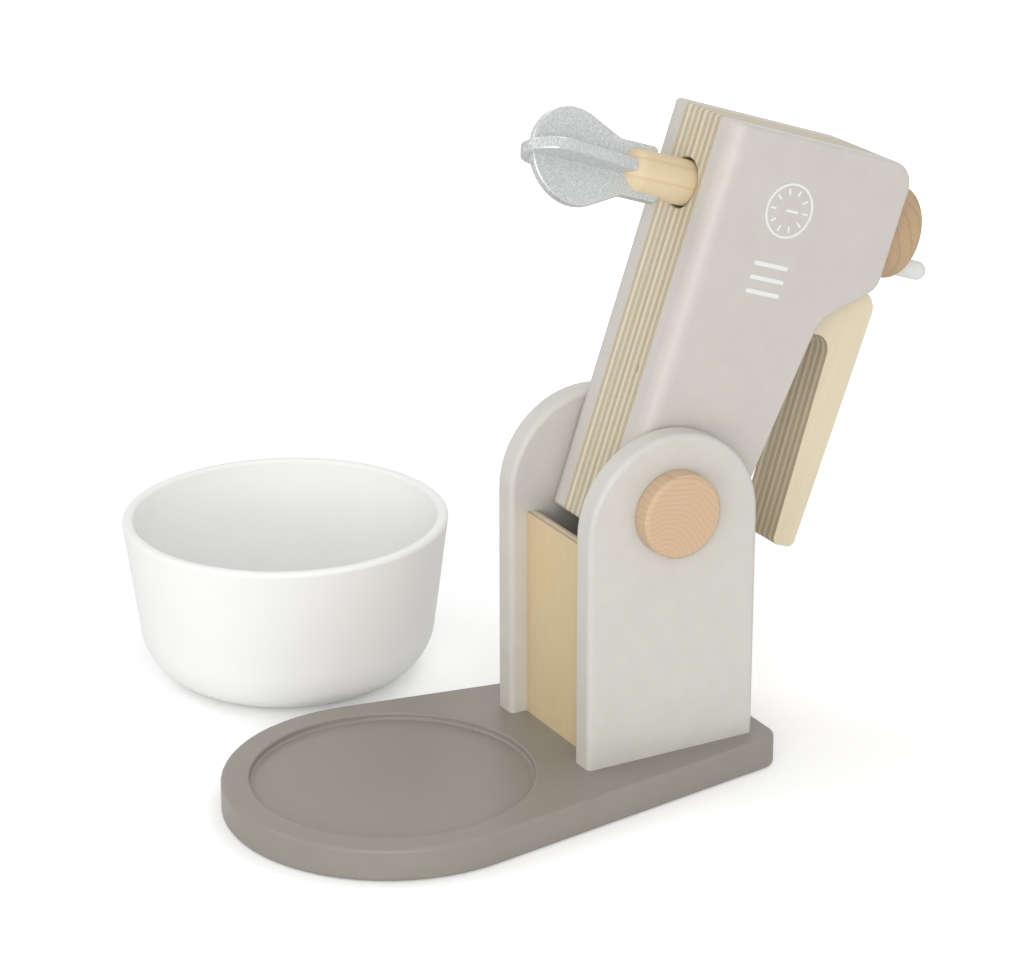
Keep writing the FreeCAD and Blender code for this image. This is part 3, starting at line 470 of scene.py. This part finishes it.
def plate_plywood(name, node):
    """The plywood of an upright plate, with its layers from front to rear and its grain upright."""
    return plywood(name, Vector((0, 1, 0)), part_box(node)[0].y, PLATE_PLY, UP, (0, 0, 0), PLATE_VENEER)


MATERIALS = {
    "base_paint": painted_board("base_paint", srgb(143, 138, 129)),
    "cheek_paint": painted_board("cheek_paint", srgb(203, 200, 193)),
    # The head's sides take the cheeks' paint, made darker as painted shade.
    "head_paint": painted_board("head_paint", srgb(197, 193, 186)),
    "core_ply": plywood("core_ply", ACROSS, -CORE_HALF, CORE_PLY, AHEAD, PIVOT, CORE_VENEER),
    "front_ply": plate_plywood("front_ply", "front_plate"),
    "rear_ply": plate_plywood("rear_ply", "rear_plate"),
    "knob_beech": solid_wood("knob_beech", srgb(203, 176, 145), ACROSS, KNOB_HEART, 1.9 * MM,
                             contrast=0.06, late_wood=srgb(195, 163, 133)),
    # Beech end grain for the crank disc. Its tone, darker than the knobs', is partly the end grain and
    # partly painted shade.
    "shaded_disc_beech": solid_wood("shaded_disc_beech", srgb(186, 158, 125), DISC_GRAIN, DISC_HEART, 5 * MM,
                             contrast=0.07, fleck=0.6),
    "pale_dowel": solid_wood("pale_dowel", srgb(216, 197, 163), ABOVE, HOLDER_HEART, 6 * MM,
                             contrast=0.04, late_wood=srgb(209, 186, 148)),
    "plain_beech": solid_wood("plain_beech", srgb(218, 188, 152), ACROSS, PIVOT, 3 * MM),
    "fore_glitter": glitter("fore_glitter", ABOVE.cross(FORE_WAY)),
    "cross_glitter": glitter("cross_glitter", ABOVE.cross(CROSS_WAY)),
    "white_paint": moulded_white("white_paint", srgb(217, 220, 215), 0.4),
    "bowl_white": moulded_white("bowl_white", srgb(240, 240, 238)),
    "print_white": moulded_white("print_white", srgb(224, 228, 224)),
    "zinc_steel": plated_steel("zinc_steel"),
}

NODE_MATERIALS = {
    "base_board": "base_paint", "cheek_left": "cheek_paint", "cheek_right": "cheek_paint",
    "front_plate": "front_ply", "rear_plate": "rear_ply", "base_screws": "zinc_steel",
    # The head's sides get the darker copy of the cheeks' paint, which is painted shade.
    "head_core": "core_ply", "head_side_left": "head_paint", "head_side_right": "head_paint",
    "head_dowels": "plain_beech", "pivot_axle": "plain_beech",
    "knob_left": "knob_beech", "knob_right": "knob_beech", "whisk_holder": "pale_dowel",
    "whisk_blade_fore": "fore_glitter", "whisk_blade_cross": "cross_glitter",
    # The crank disc's beech is darker partly as painted shade.
    "whisk_shaft": "plain_beech", "crank_disc": "shaded_disc_beech", "crank_peg": "white_paint",
    "bowl": "bowl_white",
}


def dress_nodes():
    for node, name in NODE_MATERIALS.items():
        data = frame["nodes"][node].data
        data.materials.clear()
        data.materials.append(MATERIALS[name])


# Outlines: points in a plane, counter-clockwise, in millimetres

ARC_STEP = math.radians(6)


def polar(centre, radius, angle):
    return (centre[0] + radius * math.cos(angle), centre[1] + radius * math.sin(angle))


def arc(centre, radius, start, end):
    """Points of an arc from start to end, in degrees, both ends included."""
    start, end = math.radians(start), math.radians(end)
    steps = max(2, round(abs(end - start) / ARC_STEP))
    return [polar(centre, radius, start + (end - start) * i / steps) for i in range(steps + 1)]


def rounded(corners):
    """An outline through corners given as (a, b, radius); a corner without a radius stays sharp."""
    points = []
    for i, (a, b, radius) in enumerate(corners):
        if not radius:
            points.append((a, b))
            continue
        here = Vector((a, b))
        before = (Vector(corners[i - 1][:2]) - here).normalized()
        after = (Vector(corners[(i + 1) % len(corners)][:2]) - here).normalized()
        half = before.angle(after) / 2
        centre = here + (before + after).normalized() * (radius / math.sin(half))
        first = here + before * (radius / math.tan(half)) - centre
        turn = first.angle_signed(here + after * (radius / math.tan(half)) - centre)
        start = math.degrees(math.atan2(first.y, first.x))
        points += arc(centre, radius, start, start - math.degrees(turn))
    return points


def tangent_angle(point, radius):
    """Where a line from a point at the right of a circle about the origin touches it, in degrees."""
    return math.degrees(math.atan2(point[1], point[0]) - math.acos(radius / math.hypot(*point)))


# Meshes

CREASE = math.radians(32)
WELD = 0.001 * MM
CLOSE = 0.01 * MM
SHARPEST = 35
SEAM_SHARPEST = 60
ROUND_COUNT = 96
WIDE_COUNT = 160
PEG_COUNT = 48


def smooth_by_crease(bm):
    """Smooth shading, with the edges that turn by more than CREASE kept sharp."""
    for face in bm.faces:
        face.smooth = True
    for edge in bm.edges:
        edge.smooth = len(edge.link_faces) < 2 or edge.calc_face_angle(0) < CREASE


def object_from(name, bm, material, body):
    """Makes an object that rides a body."""
    mesh = bpy.data.meshes.new(name)
    bm.to_mesh(mesh)
    bm.free()
    mesh.materials.append(MATERIALS[material])
    piece = bpy.data.objects.new(name, mesh)
    bpy.context.scene.collection.objects.link(piece)
    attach(piece, body)
    return piece


def new_piece(name, bm, body, stands_for):
    """Makes a smooth-shaded piece that takes a solid's place and has its material."""
    bmesh.ops.remove_doubles(bm, verts=bm.verts, dist=WELD)
    bmesh.ops.recalc_face_normals(bm, faces=bm.faces)
    smooth_by_crease(bm)
    piece = object_from(name, bm, NODE_MATERIALS[stands_for], body)
    weigh = piece.modifiers.new("flat faces stay flat", "WEIGHTED_NORMAL")
    weigh.mode = "FACE_AREA"
    weigh.weight = 100
    weigh.keep_sharp = True
    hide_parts(stands_for)


def join_loops(bm, near, far):
    """Faces between two loops of vertices; either loop may be a single point."""
    count = max(len(near), len(far))
    for i in range(count):
        j = (i + 1) % count
        corners = (near[i % len(near)], near[j % len(near)], far[j % len(far)], far[i % len(far)])
        bm.faces.new(list(dict.fromkeys(corners)))


def extrude(outline, low, high, place):
    """A board: the outline at two depths, joined. place(a, b, depth) gives the point in metres."""
    bm = bmesh.new()
    under = [bm.verts.new(place(a, b, low)) for a, b in outline]
    over = [bm.verts.new(place(a, b, high)) for a, b in outline]
    bm.faces.new(under[::-1])
    bm.faces.new(over)
    join_loops(bm, under, over)
    bmesh.ops.recalc_face_normals(bm, faces=bm.faces)
    bm.normal_update()
    return bm


def ease(bm, rounding, chosen, sharpest=SHARPEST):
    """Rounds the sharp edges whose two ends pass a test; a rounding is (radius, facets)."""
    radius, facets = rounding
    limit = math.radians(sharpest)
    edges = [edge for edge in bm.edges if len(edge.link_faces) == 2 and edge.calc_face_angle(0) > limit
             and chosen(edge.verts[0].co, edge.verts[1].co)]
    bmesh.ops.bevel(bm, geom=edges, offset=radius * MM, offset_type="OFFSET", segments=facets, profile=0.5,
                    affect="EDGES", clamp_overlap=False)
    bm.normal_update()


def circle(bm, middle, side, other, radius, count):
    """Vertices round a circle in the plane of two directions; a radius of 0 gives one vertex."""
    if radius == 0:
        return [bm.verts.new(middle)]
    turns = [2 * math.pi * i / count for i in range(count)]
    spokes = [side * math.cos(t) + other * math.sin(t) for t in turns]
    return [bm.verts.new(middle + spoke * radius * MM) for spoke in spokes]


def sink(bm, face, centre, inward, side, profile, count=ROUND_COUNT):
    """Cuts a round hollow into a flat face; profile is (radius, depth) pairs in millimetres, rim first."""
    other = inward.cross(side)
    loops = [circle(bm, centre + inward * depth * MM, side, other, radius, count)
             for radius, depth in profile]
    rim = [bm.edges.new((loops[0][i], loops[0][(i + 1) % count])) for i in range(count)]
    outer = list(face.edges)
    bm.faces.remove(face)
    bmesh.ops.triangle_fill(bm, edges=outer + rim, use_beauty=True)
    for near, far in zip(loops, loops[1:]):
        join_loops(bm, near, far)
    bm.faces.new(loops[-1])


def flat_face(bm, direction):
    """The largest face that looks along a direction."""
    facing = [face for face in bm.faces if face.normal.dot(direction) > 0.999]
    return max(facing, key=lambda face: face.calc_area())


def lathe(profile, centre, axis, count=ROUND_COUNT):
    """A turned piece: (radius, height) pairs in millimetres along an axis, closed where the radius is 0."""
    bm = bmesh.new()
    axis = axis.normalized()
    side = axis.orthogonal().normalized()
    other = axis.cross(side)
    rings = [circle(bm, centre + axis * height * MM, side, other, radius, count)
             for radius, height in profile]
    for near, far in zip(rings, rings[1:]):
        join_loops(bm, near, far)
    return bm


def bend(radius, centre, start, end, depth=None, steps=6):
    """Profile points of a rounded edge, in degrees from the radial direction; depth flattens it."""
    angles = [math.radians(start + (end - start) * i / steps) for i in range(steps + 1)]
    return [(max(0.0, centre[0] + radius * math.cos(t)), centre[1] + (depth or radius) * math.sin(t))
            for t in angles]


# Stand: millimetres; a rounding is (radius, facets)

BASE_RADIUS = 60
BASE_REAR = 136
BASE_REAR_HALF = 39
BASE_CORNER = 8
BASE_TOP = 12
BASE_ROUNDING = (1.5, 5)
SEAT_RADIUS = 50
SEAT_DEPTH = 2.6
SEAT_FLOOR_ROUND = 1.0
SEAT_LIP_ROUND = 0.8
CHEEK_FRONT = 60
CHEEK_WIDTH = 68
CHEEK_ARCH = 97
CHEEK_INNER = 22.8
CHEEK_OUTER = 32.8
CHEEK_ROUNDING = (2.0, 6)
PLATE_ROUNDING = (0.3, 2)


def make_base():
    touch = tangent_angle((BASE_REAR_HALF, BASE_REAR), BASE_RADIUS)
    front = arc((0, 0), BASE_RADIUS, 180 - touch, 360 + touch)
    corners = [(BASE_REAR_HALF, BASE_REAR, BASE_CORNER), (-BASE_REAR_HALF, BASE_REAR, BASE_CORNER)]
    rear = rounded([front[-1] + (0,), *corners, front[0] + (0,)])
    bm = extrude(front + rear[1:-1], 0, BASE_TOP, lambda a, b, depth: Vector((a, b, depth)) * MM)
    ease(bm, BASE_ROUNDING, lambda one, other: abs(one.z - other.z) < CLOSE)
    lip = bend(SEAT_LIP_ROUND, (SEAT_RADIUS + SEAT_LIP_ROUND, SEAT_LIP_ROUND), -90, -180)
    floor = bend(SEAT_FLOOR_ROUND, (SEAT_RADIUS - SEAT_FLOOR_ROUND, SEAT_DEPTH - SEAT_FLOOR_ROUND), 0, 90)
    sink(bm, flat_face(bm, UP), UP * BASE_TOP * MM, -UP, ACROSS, lip + floor, WIDE_COUNT)
    new_piece("base_skin", bm, "stand", "base_board")


def make_cheek(side, node):
    arch = arc((CHEEK_FRONT + CHEEK_WIDTH / 2, CHEEK_ARCH), CHEEK_WIDTH / 2, 0, 180)
    outline = [(CHEEK_FRONT, BASE_TOP), (CHEEK_FRONT + CHEEK_WIDTH, BASE_TOP)] + arch
    bm = extrude(outline, side * CHEEK_INNER, side * CHEEK_OUTER,
                 lambda a, b, depth: Vector((depth, a, b)) * MM)

    def off_the_foot(one, other):
        return abs(one.x - other.x) < CLOSE and max(one.z, other.z) > BASE_TOP * MM + CLOSE

    ease(bm, CHEEK_ROUNDING, off_the_foot)
    new_piece(node + "_skin", bm, "stand", node)


def make_plate(node):
    low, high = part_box(node)
    outline = [(low.x, low.z), (high.x, low.z), (high.x, high.z), (low.x, high.z)]
    outline = [(a / MM, b / MM) for a, b in outline]
    bm = extrude(outline, low.y / MM, high.y / MM, lambda a, b, depth: Vector((a, depth, b)) * MM)
    ease(bm, PLATE_ROUNDING, lambda one, other: min(one.z, other.z) > low.z + CLOSE)
    new_piece(node + "_skin", bm, "stand", node)


# Head: millimetres ahead of and above the pivot

HEAD_UNDER = -14
HEAD_TAIL = -16
HEAD_NOSE = 134
HEAD_TOP = 65
NOSE_CORNER = 9
CROWN_REAR = 89
CROWN_CORNER = 8
NECK_FRONT = 73.4
NECK_HEIGHT = 44.7
NECK_CORNER = 9
TAIL_TOP = 33
TAIL_CORNER = 3
HANDLE_FRONT = 86
HANDLE_TOP_FRONT = 74.6
HANDLE_CORNER = 8
HANDLE_END = -10.8
HANDLE_TOP_END = 72
HANDLE_UNDER_END = 62.6
HANDLE_END_CORNER = 2.6
GAP_FRONT = 67
GAP_TOP = 60.1
GAP_CORNER = 6.5
GAP_FOOT = 43.862
GAP_FOOT_CORNER = 3
CORE_SIDE = 11
PANEL_SIDE = 22
UNDER_ROUNDING = (6.0, 10)
PANEL_ROUNDING = (1.5, 5)
PANEL_SEAM_ROUNDING = (0.25, 2)
CORE_ROUNDING = (1.2, 4)
CORE_SEAM_ROUNDING = (0.25, 3)
BORE_RADIUS = 9
BORE_RIM = 0.3
BORE_DEPTH = 16

TAIL = [(HEAD_TAIL, TAIL_TOP, TAIL_CORNER), (HEAD_TAIL, HEAD_UNDER, 0)]
NOSE = [(HEAD_NOSE, HEAD_UNDER, 0), (HEAD_NOSE, HEAD_TOP, NOSE_CORNER)]
SIDE_CORNERS = NOSE + [(CROWN_REAR, HEAD_TOP, CROWN_CORNER), (NECK_FRONT, NECK_HEIGHT, NECK_CORNER)] + TAIL
HANDLE = [
    (HANDLE_FRONT, HEAD_TOP, 0), (HANDLE_FRONT, HANDLE_TOP_FRONT, HANDLE_CORNER),
    (HANDLE_END, HANDLE_TOP_END, HANDLE_END_CORNER), (HANDLE_END, HANDLE_UNDER_END, HANDLE_END_CORNER),
    (GAP_FRONT, GAP_TOP, GAP_CORNER), (GAP_FRONT, GAP_FOOT, GAP_FOOT_CORNER),
]
CORE_CORNERS = NOSE + HANDLE + TAIL


def head_place(a, b, depth):
    return in_head(depth * MM, a * MM, b * MM)


def on_underside(point):
    return abs((point - PIVOT).dot(ABOVE) - HEAD_UNDER * MM) < CLOSE


def make_head_side(side, node):
    bm = extrude(rounded(SIDE_CORNERS), side * CORE_SIDE, side * PANEL_SIDE, head_place)

    def both_at(depth, one, other):
        return max(abs(point.x - side * depth * MM) for point in (one, other)) < CLOSE

    def lower_outer(one, other):
        return both_at(PANEL_SIDE, one, other) and on_underside(one) and on_underside(other)

    def on_seam(one, other):
        return both_at(CORE_SIDE, one, other)

    ease(bm, UNDER_ROUNDING, lower_outer)
    ease(bm, PANEL_ROUNDING, lambda one, other: not on_seam(one, other))
    ease(bm, PANEL_SEAM_ROUNDING, on_seam, SEAM_SHARPEST)
    new_piece(node + "_skin", bm, "head", node)


def make_head_core():
    bm = extrude(rounded(CORE_CORNERS), -CORE_SIDE, CORE_SIDE, head_place)
    ease(bm, CORE_ROUNDING, lambda one, other: abs(one.x - other.x) > CLOSE and on_underside(one))
    ease(bm, CORE_SEAM_ROUNDING, lambda one, other: abs(one.x - other.x) < CLOSE, SEAM_SHARPEST)
    mouth = in_head(0, SHAFT_AHEAD * MM, HEAD_UNDER * MM)
    profile = [(BORE_RADIUS + BORE_RIM, 0), (BORE_RADIUS, BORE_RIM), (BORE_RADIUS, BORE_DEPTH)]
    sink(bm, flat_face(bm, -ABOVE), mouth, ABOVE, ACROSS, profile)
    new_piece("core_skin", bm, "head", "head_core")


KNOB_RADIUS = 15.3
KNOB_THICKNESS = 7.5
KNOB_CHAMFER = 1.2
KNOB_SOFTENING = 0.35
KNOB_BULGE = 0.1
KNOB_GAP = 0.3


def make_knob(side, node):
    """A turned knob whose chamfer has slightly softened edges."""
    r, t, c = KNOB_RADIUS, KNOB_THICKNESS, KNOB_CHAMFER
    soft, bulge = KNOB_SOFTENING, KNOB_BULGE
    profile = [(0, 0), (r - soft, 0), (r, soft), (r, t - c - soft), (r - bulge, t - c + bulge),
               (r - soft, t - c + soft), (r - c + soft / 2, t - soft / 2),
               (r - c - soft / 2, t - bulge / 2), (r - c - soft, t), (0, t)]
    start = PIVOT + ACROSS * side * (CHEEK_OUTER + KNOB_GAP) * MM
    new_piece(node + "_skin", lathe(profile, start, ACROSS * side), "head", node)


# Whisk: millimetres along the shaft from the pivot's level

HOLDER_RADIUS = 8
HOLDER_TOP = 1.7
HOLDER_END = -33
HOLDER_DOME = 7.1
DISC_RADIUS = 17
DISC_FOOT = 65.3
DISC_FACE = 80.3
DISC_ROUND = 1.0
PEG_RADIUS = 3.5
PEG_THROW = 11.7
PEG_REACH = 17
PEG_SUNK = 8
PEG_ANGLE = math.radians(103)
BLADE_ROUNDING = (0.6, 4)
NECK_END = -40.6
BROAD_BLADE = {"thickness": 3.2, "radius": 17.4, "centre": -59.8, "neck_half": 10.2, "top": -25, "corner": 2}
NARROW_BLADE = {"thickness": 4.4, "radius": 11, "centre": -68, "neck_half": 7, "top": -37.9, "corner": 0}


def make_holder():
    dome = bend(HOLDER_RADIUS, (0, HOLDER_END), -90, 0, HOLDER_DOME)
    profile = [(0, dome[0][1])] + dome[1:] + [(HOLDER_RADIUS, HOLDER_TOP), (0, HOLDER_TOP)]
    new_piece("holder_skin", lathe(profile, SHAFT_FOOT, ABOVE), "whisk", "whisk_holder")


def make_blade(name, node, way, thickness, radius, centre, neck_half, top, corner):
    """A paddle: straight flanks from the neck to where they touch the round end."""
    touch = tangent_angle((neck_half, NECK_END - centre), radius)
    end = [(a, b + centre) for a, b in arc((0, 0), radius, 180 - touch, 360 + touch)]
    upper = rounded([(neck_half, NECK_END, 0), (neck_half, top, corner), (-neck_half, top, corner),
                     (-neck_half, NECK_END, 0)])
    normal = ABOVE.cross(way)
    bm = extrude(end + upper, -thickness / 2, thickness / 2,
                 lambda a, b, depth: SHAFT_FOOT + (way * a + ABOVE * b + normal * depth) * MM)
    ease(bm, BLADE_ROUNDING, lambda one, other: abs((one - other).dot(normal)) < CLOSE)
    new_piece(name, bm, "whisk", node)


def make_disc():
    e = DISC_ROUND
    profile = [(0, DISC_FOOT)] + bend(e, (DISC_RADIUS - e, DISC_FOOT + e), -90, 0)
    profile += bend(e, (DISC_RADIUS - e, DISC_FACE - e), 0, 90) + [(0, DISC_FACE)]
    new_piece("disc_skin", lathe(profile, SHAFT_FOOT, ABOVE), "whisk", "crank_disc")


def make_peg():
    way = CROSS_WAY * math.cos(PEG_ANGLE) + FORE_WAY * math.sin(PEG_ANGLE)
    shoulder = DISC_FACE + PEG_REACH - PEG_RADIUS
    dome = bend(PEG_RADIUS, (0, shoulder), 0, 90)
    profile = [(0, DISC_FACE - PEG_SUNK), (PEG_RADIUS, DISC_FACE - PEG_SUNK)] + dome[:-1]
    profile.append((0, shoulder + PEG_RADIUS))
    peg = lathe(profile, SHAFT_FOOT + way * PEG_THROW * MM, ABOVE, PEG_COUNT)
    new_piece("peg_skin", peg, "whisk", "crank_peg")


BOWL_PLACE = Vector((-126, 20, 0)) * MM
BOWL_RIM = 61.5
BOWL_FOOT = 53.4
BOWL_HEIGHT = 62.7
BOWL_FOOT_ROUND = 21.5
BOWL_FOOT_STEPS = 24
BOWL_WALL = 4.2
BOWL_RIM_ROUND = 1.6


def make_bowl():
    slope = (BOWL_RIM - BOWL_FOOT) / BOWL_HEIGHT
    stretch = math.hypot(1, slope)
    lean = math.degrees(math.atan(slope))
    centre = (BOWL_FOOT + BOWL_FOOT_ROUND * (slope - stretch), BOWL_FOOT_ROUND)
    outside = bend(BOWL_FOOT_ROUND, centre, -90, -lean, steps=BOWL_FOOT_STEPS)
    inside = bend(BOWL_FOOT_ROUND - BOWL_WALL, centre, -90, -lean, steps=BOWL_FOOT_STEPS)
    e = BOWL_RIM_ROUND
    outer_rim = bend(e, (BOWL_RIM - slope * e - e * stretch, BOWL_HEIGHT - e), -lean, 90)
    wall = BOWL_WALL * stretch
    inner_rim = bend(e, (BOWL_RIM - wall - slope * e + e * stretch, BOWL_HEIGHT - e), 90, 180 - lean)
    profile = [(0, 0)] + outside + outer_rim + inner_rim + inside[::-1] + [(0, BOWL_WALL)]
    new_piece("bowl_skin", lathe(profile, BOWL_PLACE, UP, WIDE_COUNT), "bowl", "bowl")


# Printed marks on the right side of the head, in metres

PRINT_FACE = PANEL_SIDE * MM
PRINT_THICKNESS = 0.12 * MM
BAR_LENGTH = 14.6 * MM
BAR_WIDTH = 1.5 * MM
BAR_AHEAD = (88.9 * MM, 83.9 * MM, 78.9 * MM)
BAR_ABOVE = 16.8 * MM
BAR_END_STEPS = 8
DIAL_AHEAD = 108.8 * MM
DIAL_ABOVE = 17.3 * MM
DIAL_RADIUS = 9.4 * MM
DIAL_LINE = 0.8 * MM
DIAL_STEPS = 48
TICK_COUNT = 10
TICK_INSET = 2.6 * MM
TICK_LENGTH = 2.4 * MM
TICK_WIDTH = 0.75 * MM
HAND_RISE = 1.2 * MM
HAND_LENGTH = 5.4 * MM
HAND_WIDTH = 0.9 * MM


def make_print(name, outlines):
    """Thin closed plates on the head's right face; each outline is (ahead, above) points, turned one way."""
    bm = bmesh.new()
    for outline in outlines:
        low = [bm.verts.new(in_head(PRINT_FACE, u, w)) for u, w in outline]
        high = [bm.verts.new(in_head(PRINT_FACE + PRINT_THICKNESS, u, w)) for u, w in outline]
        bm.faces.new(high)
        bm.faces.new(low[::-1])
        join_loops(bm, low, high)
    bmesh.ops.recalc_face_normals(bm, faces=bm.faces)
    object_from(name, bm, "print_white", "head")


def stadium(ahead, above, length, width, turn=0.0):
    """A bar with round ends, its length turned from the head's above direction by turn."""
    points = []
    for end in (1, -1):
        for i in range(BAR_END_STEPS + 1):
            angle = math.pi * i / BAR_END_STEPS
            x = end * width / 2 * math.cos(angle)
            y = end * ((length - width) / 2 + width / 2 * math.sin(angle))
            points.append((x, y))
    c, s = math.cos(turn), math.sin(turn)
    return [(ahead + x * c - y * s, above + x * s + y * c) for x, y in points]


def ring_sectors(centre, radius, width):
    """A printed ring as a chain of four-cornered tiles."""
    inner, outer = radius - width / 2, radius + width / 2
    tiles = []
    for i in range(DIAL_STEPS):
        a, b = 2 * math.pi * i / DIAL_STEPS, 2 * math.pi * (i + 1) / DIAL_STEPS
        tiles.append([polar(centre, r, t) for r, t in ((inner, a), (outer, a), (outer, b), (inner, b))])
    return tiles


def make_prints():
    make_print("speed_bars", [stadium(ahead, BAR_ABOVE, BAR_LENGTH, BAR_WIDTH) for ahead in BAR_AHEAD])
    marks = ring_sectors((DIAL_AHEAD, DIAL_ABOVE), DIAL_RADIUS, DIAL_LINE)
    for i in range(TICK_COUNT):
        turn = 2 * math.pi * i / TICK_COUNT
        reach = DIAL_RADIUS - TICK_INSET
        ahead = DIAL_AHEAD - reach * math.sin(turn)
        above = DIAL_ABOVE + reach * math.cos(turn)
        marks.append(stadium(ahead, above, TICK_LENGTH, TICK_WIDTH, turn))
    marks.append(stadium(DIAL_AHEAD, DIAL_ABOVE + HAND_RISE, HAND_LENGTH, HAND_WIDTH))
    make_print("dial_marks", marks)


# Floor, world and lamps, in metres

FLOOR_HALF = 4.0
FLOOR_DROP = 0.2 * MM
FLOOR_CLOUD = 0.4
FLOOR_LIFT_NEAR = 0.19
FLOOR_LIFT_FAR = 1.0
FLOOR_NEAR = 0.30
FLOOR_FAR = 0.85
WORLD_FILL = 0.64


def floor_material():
    """White floor that keeps the object's shadow; further out the camera sees it fade to pure white."""
    g = Graph("floor_white", 0.9, specular=0.0)
    point = g.object_point()
    cloud = g.noise(point, FLOOR_CLOUD, detail=1)
    distance = g.node("ShaderNodeVectorMath", operation="LENGTH")
    g.put(distance.inputs[0], point)
    lift = g.remap(distance.outputs["Value"], FLOOR_NEAR, FLOOR_FAR, FLOOR_LIFT_NEAR, FLOOR_LIFT_FAR)
    path = g.node("ShaderNodeLightPath")
    g.shader.inputs["Emission Color"].default_value = grey(1)
    g.put(g.shader.inputs["Emission Strength"], g.math("MULTIPLY", path.outputs["Is Camera Ray"], lift))
    return g.finish(g.ramp(cloud, [(0.0, grey(0.93)), (1.0, grey(0.95))]))


def make_floor():
    mesh = bpy.data.meshes.new("floor")
    corners = [(x * FLOOR_HALF, y * FLOOR_HALF, 0) for x, y in ((-1, -1), (1, -1), (1, 1), (-1, 1))]
    mesh.from_pydata(corners, [], [(0, 1, 2, 3)])
    mesh.materials.append(floor_material())
    floor = bpy.data.objects.new("floor", mesh)
    floor.location.z = -FLOOR_DROP
    bpy.context.scene.collection.objects.link(floor)


def make_world():
    """White where the camera, a reflection or a clear view sees it; dimmer where it lights the object."""
    world = bpy.data.worlds.new("studio")
    bpy.context.scene.world = world
    world.use_nodes = True
    tree = world.node_tree
    background = tree.nodes["Background"]
    background.inputs["Color"].default_value = grey(1)
    path = tree.nodes.new("ShaderNodeLightPath")
    seen = path.outputs["Is Camera Ray"]
    for other in ("Is Glossy Ray", "Is Transmission Ray"):
        largest = tree.nodes.new("ShaderNodeMath")
        largest.operation = "MAXIMUM"
        tree.links.new(seen, largest.inputs[0])
        tree.links.new(path.outputs[other], largest.inputs[1])
        seen = largest.outputs[0]
    strength = tree.nodes.new("ShaderNodeMapRange")
    strength.inputs["To Min"].default_value = WORLD_FILL
    strength.inputs["To Max"].default_value = 1.0
    tree.links.new(seen, strength.inputs["Value"])
    tree.links.new(strength.outputs["Result"], background.inputs["Strength"])


# Each lamp: name, place, side of its square, power in watts
LAMPS = [
    ("camera_side", (1.45, -0.75, 0.7), 1.0, 12.0),
    ("left", (-0.9, -1.1, 1.6), 1.0, 5.0),
    ("strip", (1.0, -1.35, 0.3), 0.35, 3.0),
    ("top_back", (-0.2, 0.9, 1.9), 1.0, 6.0),
]
LAMP_AIM = Vector((0.0, 0.05, 0.1))


def make_lamps():
    for name, place, size, power in LAMPS:
        data = bpy.data.lights.new(name, "AREA")
        data.size = size
        data.energy = power
        lamp = bpy.data.objects.new(name, data)
        lamp.location = place
        lamp.rotation_euler = (LAMP_AIM - Vector(place)).to_track_quat("-Z", "Y").to_euler()
        bpy.context.scene.collection.objects.link(lamp)


SIDES = ((-1, "left"), (1, "right"))


def make_pieces():
    make_base()
    for side, hand in SIDES:
        make_cheek(side, "cheek_" + hand)
    make_plate("front_plate")
    make_plate("rear_plate")
    make_head_core()
    for side, hand in SIDES:
        make_head_side(side, "head_side_" + hand)
    for side, hand in SIDES:
        make_knob(side, "knob_" + hand)
    make_holder()
    make_blade("broad_blade_skin", "whisk_blade_fore", FORE_WAY, **BROAD_BLADE)
    make_blade("narrow_blade_skin", "whisk_blade_cross", CROSS_WAY, **NARROW_BLADE)
    make_disc()
    make_peg()
    make_bowl()


make_camera()
dress_nodes()
make_pieces()
make_prints()
make_floor()
make_world()
make_lamps()
bpy.context.scene.view_settings.view_transform = "Standard"
